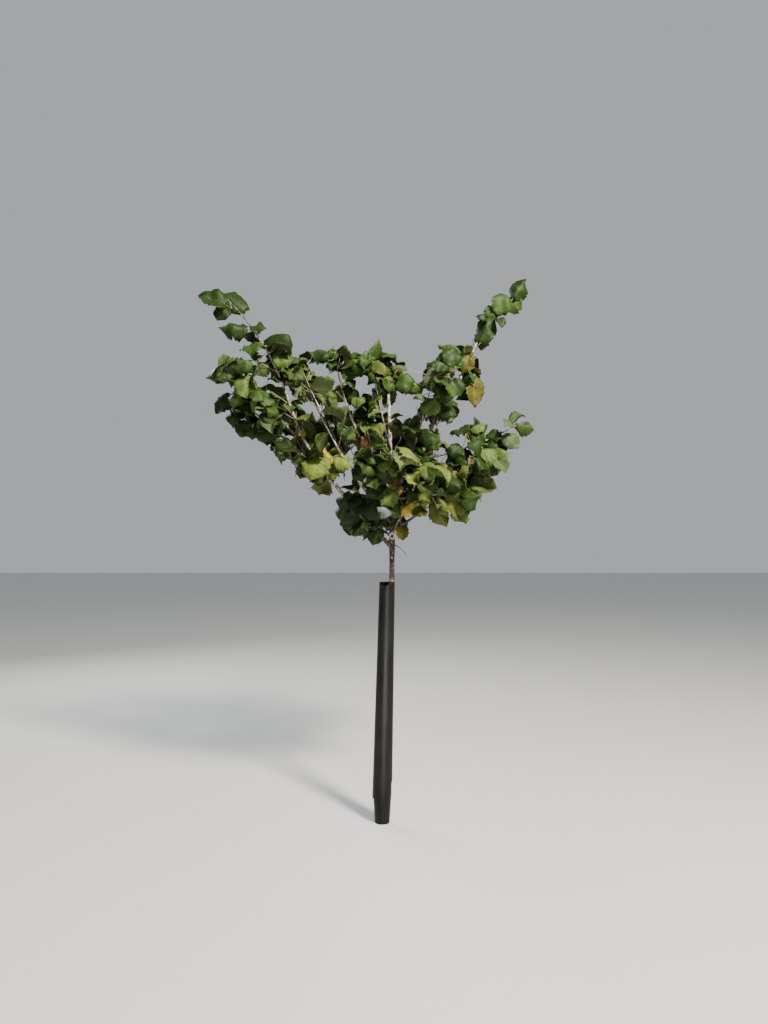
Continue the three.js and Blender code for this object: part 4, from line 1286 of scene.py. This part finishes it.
def make_guard(finish):
    """The guard's two lengths of rolled sheet, the upper one pushed over the lower one."""

    def corner_rise(angle):
        rising = smoothstep(angle, GUARD_CORNER_FROM, GUARD_CORNER_TO)
        return GUARD_CORNER_RISE * rising * (1 - smoothstep(angle, GUARD_CORNER_TO, GUARD_CORNER_TO + 95))

    def upper_height(angle, up):
        dip = MOUTH_DIP * math.exp(-(((angle - MOUTH_DIP_ANGLE) / MOUTH_DIP_WIDTH) ** 2))
        dip += MOUTH_DIP * math.exp(-(((angle - 360 - MOUTH_DIP_ANGLE) / MOUTH_DIP_WIDTH) ** 2))
        return mix(GUARD_EDGE + corner_rise(angle), GUARD_TOP - dip, up)

    def upper_dents(angle, z, round_):
        soft = 0.0007 * noise.noise(Vector((angle / 70, z * 4, 3.1)))
        crease = -0.0006 * math.exp(-(((z - CREASE_HEIGHT) / 0.004) ** 2))
        return soft + crease - 0.0002

    turn = 360 + ROLL_OVERLAP
    width = math.radians(turn) * (GUARD_EDGE_RADIUS + GUARD_TOP_RADIUS) / 2
    height = GUARD_TOP - GUARD_EDGE
    vents = [((-90 - ROLL_START) / turn, guard_share(VENT_HEIGHT), VENT_RADIUS)]
    around = (AIR_HOLE_ANGLE + 360 - ROLL_START) / turn
    vents += [(around, up / height, AIR_HOLE_RADIUS) for up in np.arange(0.09, height - 0.02, AIR_HOLE_GAP)]
    flat = punched_sheet(GUARD_COLUMNS, GUARD_ROWS, width, height, vents)
    upper = roll(flat, guard_middle, guard_radius, upper_height, upper_dents)

    inside = 2 * SHEET + ROLL_GAP + GAP

    def lower_radius(z):
        if z < GUARD_FOOT_BEND:
            return mix(GUARD_FOOT_RADIUS, guard_radius(GUARD_FOOT_BEND) - inside, z / GUARD_FOOT_BEND)
        return guard_radius(z) - inside

    def lower_height(angle, up):
        return GUARD_FOOT_TOP * up

    def lower_dents(angle, z, round_):
        return 0.0006 * noise.noise(Vector((angle / 40, z * 9, 8.4))) - 0.0003

    flat = punched_sheet(GUARD_COLUMNS, GUARD_FOOT_ROWS, width, GUARD_FOOT_TOP, ())
    lower = roll(flat, guard_middle, lower_radius, lower_height, lower_dents)
    return sheet_piece("guard_sleeve", upper, finish), sheet_piece("guard_foot_sleeve", lower, finish)


# The tree.


def grow_tree(rows):
    """Every spray of the crown: the solids' own, then finer ones between them."""
    woods = bare_woods(rows)
    leafy = [name for name in LIMBS if LIMBS[name][5] < 1]
    shown = hang_shown_leaves(rows)
    picture = Picture(wood_in_view(rows), woods, [spray["leaves"][0] for spray in shown])
    sprays, everywhere = [], []
    for i, name in enumerate(leafy):
        grown = grow_foliage(name, rows[name], i + 1, everywhere, Room(picture, LEAF_APART))
        for spray in grown:
            spray["leaves"] = [leaf for leaf in spray["leaves"] if picture.fits(leaf, 0.75)]
        sprays += [(name, spray) for spray in grown]
    middles = [leaf_point(leaf, 0.5, 0) for _, spray in sprays for leaf in spray["leaves"]]
    middles += list(picture.middles)
    for seed, apart, reach, throws in FINER_ROUNDS:
        room = Room(picture, apart, reach, throws, 0.9)
        for i, name in enumerate(leafy):
            sprays += [(name, spray) for spray in grow_foliage(name, rows[name], seed + i, middles, room)]
    grown = [(name, spray) for name, spray in sprays if spray["leaves"]]
    return grown + [("front", spray) for spray in shown]


def twig_line(row, count):
    """Points along a straight twig, or along a bow through its middle point."""
    shares = np.linspace(0, 1, count)[:, None]
    if len(row) == 2:
        return row[0] + shares * (row[1] - row[0])
    return (1 - shares) ** 2 * row[0] + 2 * shares * (1 - shares) * row[1] + shares**2 * row[2]


def make_twigs(sprays, finish):
    """Side twigs and leaf stalks."""
    twigs = [spray["row"] for _, spray in sprays if spray["row"] is not None]
    stalks = [leaf for _, spray in sprays for leaf in spray["leaves"]]
    twig = tube_pattern(TWIG_SIDES, TWIG_RINGS)
    stalk = tube_pattern(STALK_SIDES, len(STALK_WIDTHS))
    lines = [twig_line(row, TWIG_RINGS) for row in twigs]
    thickness = [np.linspace(TWIG_RADIUS, TWIG_TIP_RADIUS, TWIG_RINGS)] * len(lines)
    shares = np.linspace(0, 1.03, len(STALK_WIDTHS))[:, None]
    stalk_lines = [leaf["joint"] + shares * (leaf["base"] - leaf["joint"]) for leaf in stalks]
    stalk_thickness = [STALK_RADIUS * np.array(STALK_WIDTHS)] * len(stalks)
    copies = [
        (twig, tube_places(twig, lines, thickness), one_finish(twig, len(lines))),
        (stalk, tube_places(stalk, stalk_lines, stalk_thickness), one_finish(stalk, len(stalks))),
    ]
    return stamp("twigs", copies, [finish])


def make_leaves(sprays, finishes):
    """The leaves of the left, right, front and back of the crown, a piece each."""
    pattern = leaf_pattern()
    dice, chance = Dice(77), np.random.default_rng(77)
    middles = [leaf_point(spray["leaves"][0], 0.5, 0) for _, spray in sprays]
    tints = [spray.get("tint") or spray_tint(middle, dice) for (_, spray), middle in zip(sprays, middles)]
    column = np.rint(pattern.corners[:, 0]).astype(int)
    row = np.rint(pattern.corners[:, 1]).astype(int)
    vein = np.maximum(np.abs(np.array(LEAF_COLUMNS)[column]) < 0.1, row % 2 == 0).astype(float)
    pieces = {}
    for part in ("left", "right", "front", "back"):
        chosen = [(spray, tint) for (name, spray), tint in zip(sprays, tints) if part_of(name) == part]
        leaves = [leaf for spray, _ in chosen for leaf in spray["leaves"]]
        colours = [tint for spray, tint in chosen for _ in spray["leaves"]]
        copies = [(pattern, leaf_places(pattern, leaves, chance), leaf_tints(pattern, colours))]
        pieces[part] = stamp(f"leaves_{part}", copies, finishes)
        add_attribute(pieces[part], "vein", np.tile(vein, len(leaves)))
    return pieces


def part_of(name):
    """The side of the crown that a limb's foliage belongs to."""
    return "front" if name == "leader" else name.split("_")[0]


def add_light(name, place, aim, size, power, colour):
    lamp = bpy.data.lights.new(name, "AREA")
    lamp.size = size
    lamp.energy = power
    lamp.color = colour
    light = bpy.data.objects.new(name, lamp)
    light.location = place
    light.rotation_euler = (Vector(aim) - Vector(place)).to_track_quat("-Z", "Y").to_euler()
    bpy.context.scene.collection.objects.link(light)
    return lamp


def set_stage():
    """A pale floor, a soft sky, the sun, a strip for the guard's sheen and a soft light from the back."""
    floor = bmesh.new()
    bmesh.ops.create_grid(floor, x_segments=1, y_segments=1, size=30)
    bmesh.ops.translate(floor, vec=(0, 0, -0.0005), verts=floor.verts[:])
    mesh = bpy.data.meshes.new("floor")
    floor.to_mesh(mesh)
    floor.free()
    mesh.materials.append(floor_finish())
    show("floor", mesh)
    world = bpy.data.worlds.new("studio")
    world.use_nodes = True
    sky = world.node_tree.nodes["Background"]
    sky.inputs["Color"].default_value = (0.86, 0.90, 0.95, 1)
    sky.inputs["Strength"].default_value = 0.50
    bpy.context.scene.world = world
    add_light("key", SUN, SUN_AIM, 1.0, 1250, (1.0, 0.95, 0.84))
    strip = add_light("strip", (0.35, -3.4, 0.62), (0.02, 0, 0.62), 0.5, 7, (1.0, 1.0, 1.0))
    strip.spread = math.radians(34)
    add_light("back", (-3.5, 4.0, 4.2), (0, 0, 1.9), 3.0, 260, (0.97, 0.98, 1.0))


def set_camera():
    """A camera where the photographer stood, looking up a little."""
    lens = bpy.data.cameras.new("camera")
    lens.sensor_width = SENSOR
    lens.lens = FOCAL_PIXELS / FRAME_HEIGHT * SENSOR
    lens.clip_end = 200
    camera = bpy.data.objects.new("camera", lens)
    camera.location = EYE
    camera.rotation_euler = (math.radians(90 + LOOK_UP), 0, 0)
    bpy.context.scene.collection.objects.link(camera)
    bpy.context.scene.camera = camera


def ride_and_replace(piece, nodes):
    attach(piece, "root")
    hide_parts(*nodes)


rows = {}
for limb in LIMBS:
    rows[limb] = limb_row(limb, rows)

bark = bark_finish()
sheet = guard_finish()
ride_and_replace(make_trunk(bark), ["trunk_foot", "trunk_lower", "trunk_middle", "trunk_upper"])
ride_and_replace(make_limbs(bark, rows), [f"bough_{name}" for name in LIMBS if LIMBS[name][5] > 0])
sleeve, foot_sleeve = make_guard(sheet)
ride_and_replace(sleeve, ["guard_upper"])
ride_and_replace(foot_sleeve, ["guard_lower"])

sprays = grow_tree(rows)
masses = {name: f"leaves_{name}" for name in LIMBS if LIMBS[name][5] < 1}
ride_and_replace(make_twigs(sprays, shoot_finish()), masses.values())
for part, piece in make_leaves(sprays, leaf_finishes()).items():
    ride_and_replace(piece, [mass for name, mass in masses.items() if part_of(name) == part])

set_stage()
set_camera()
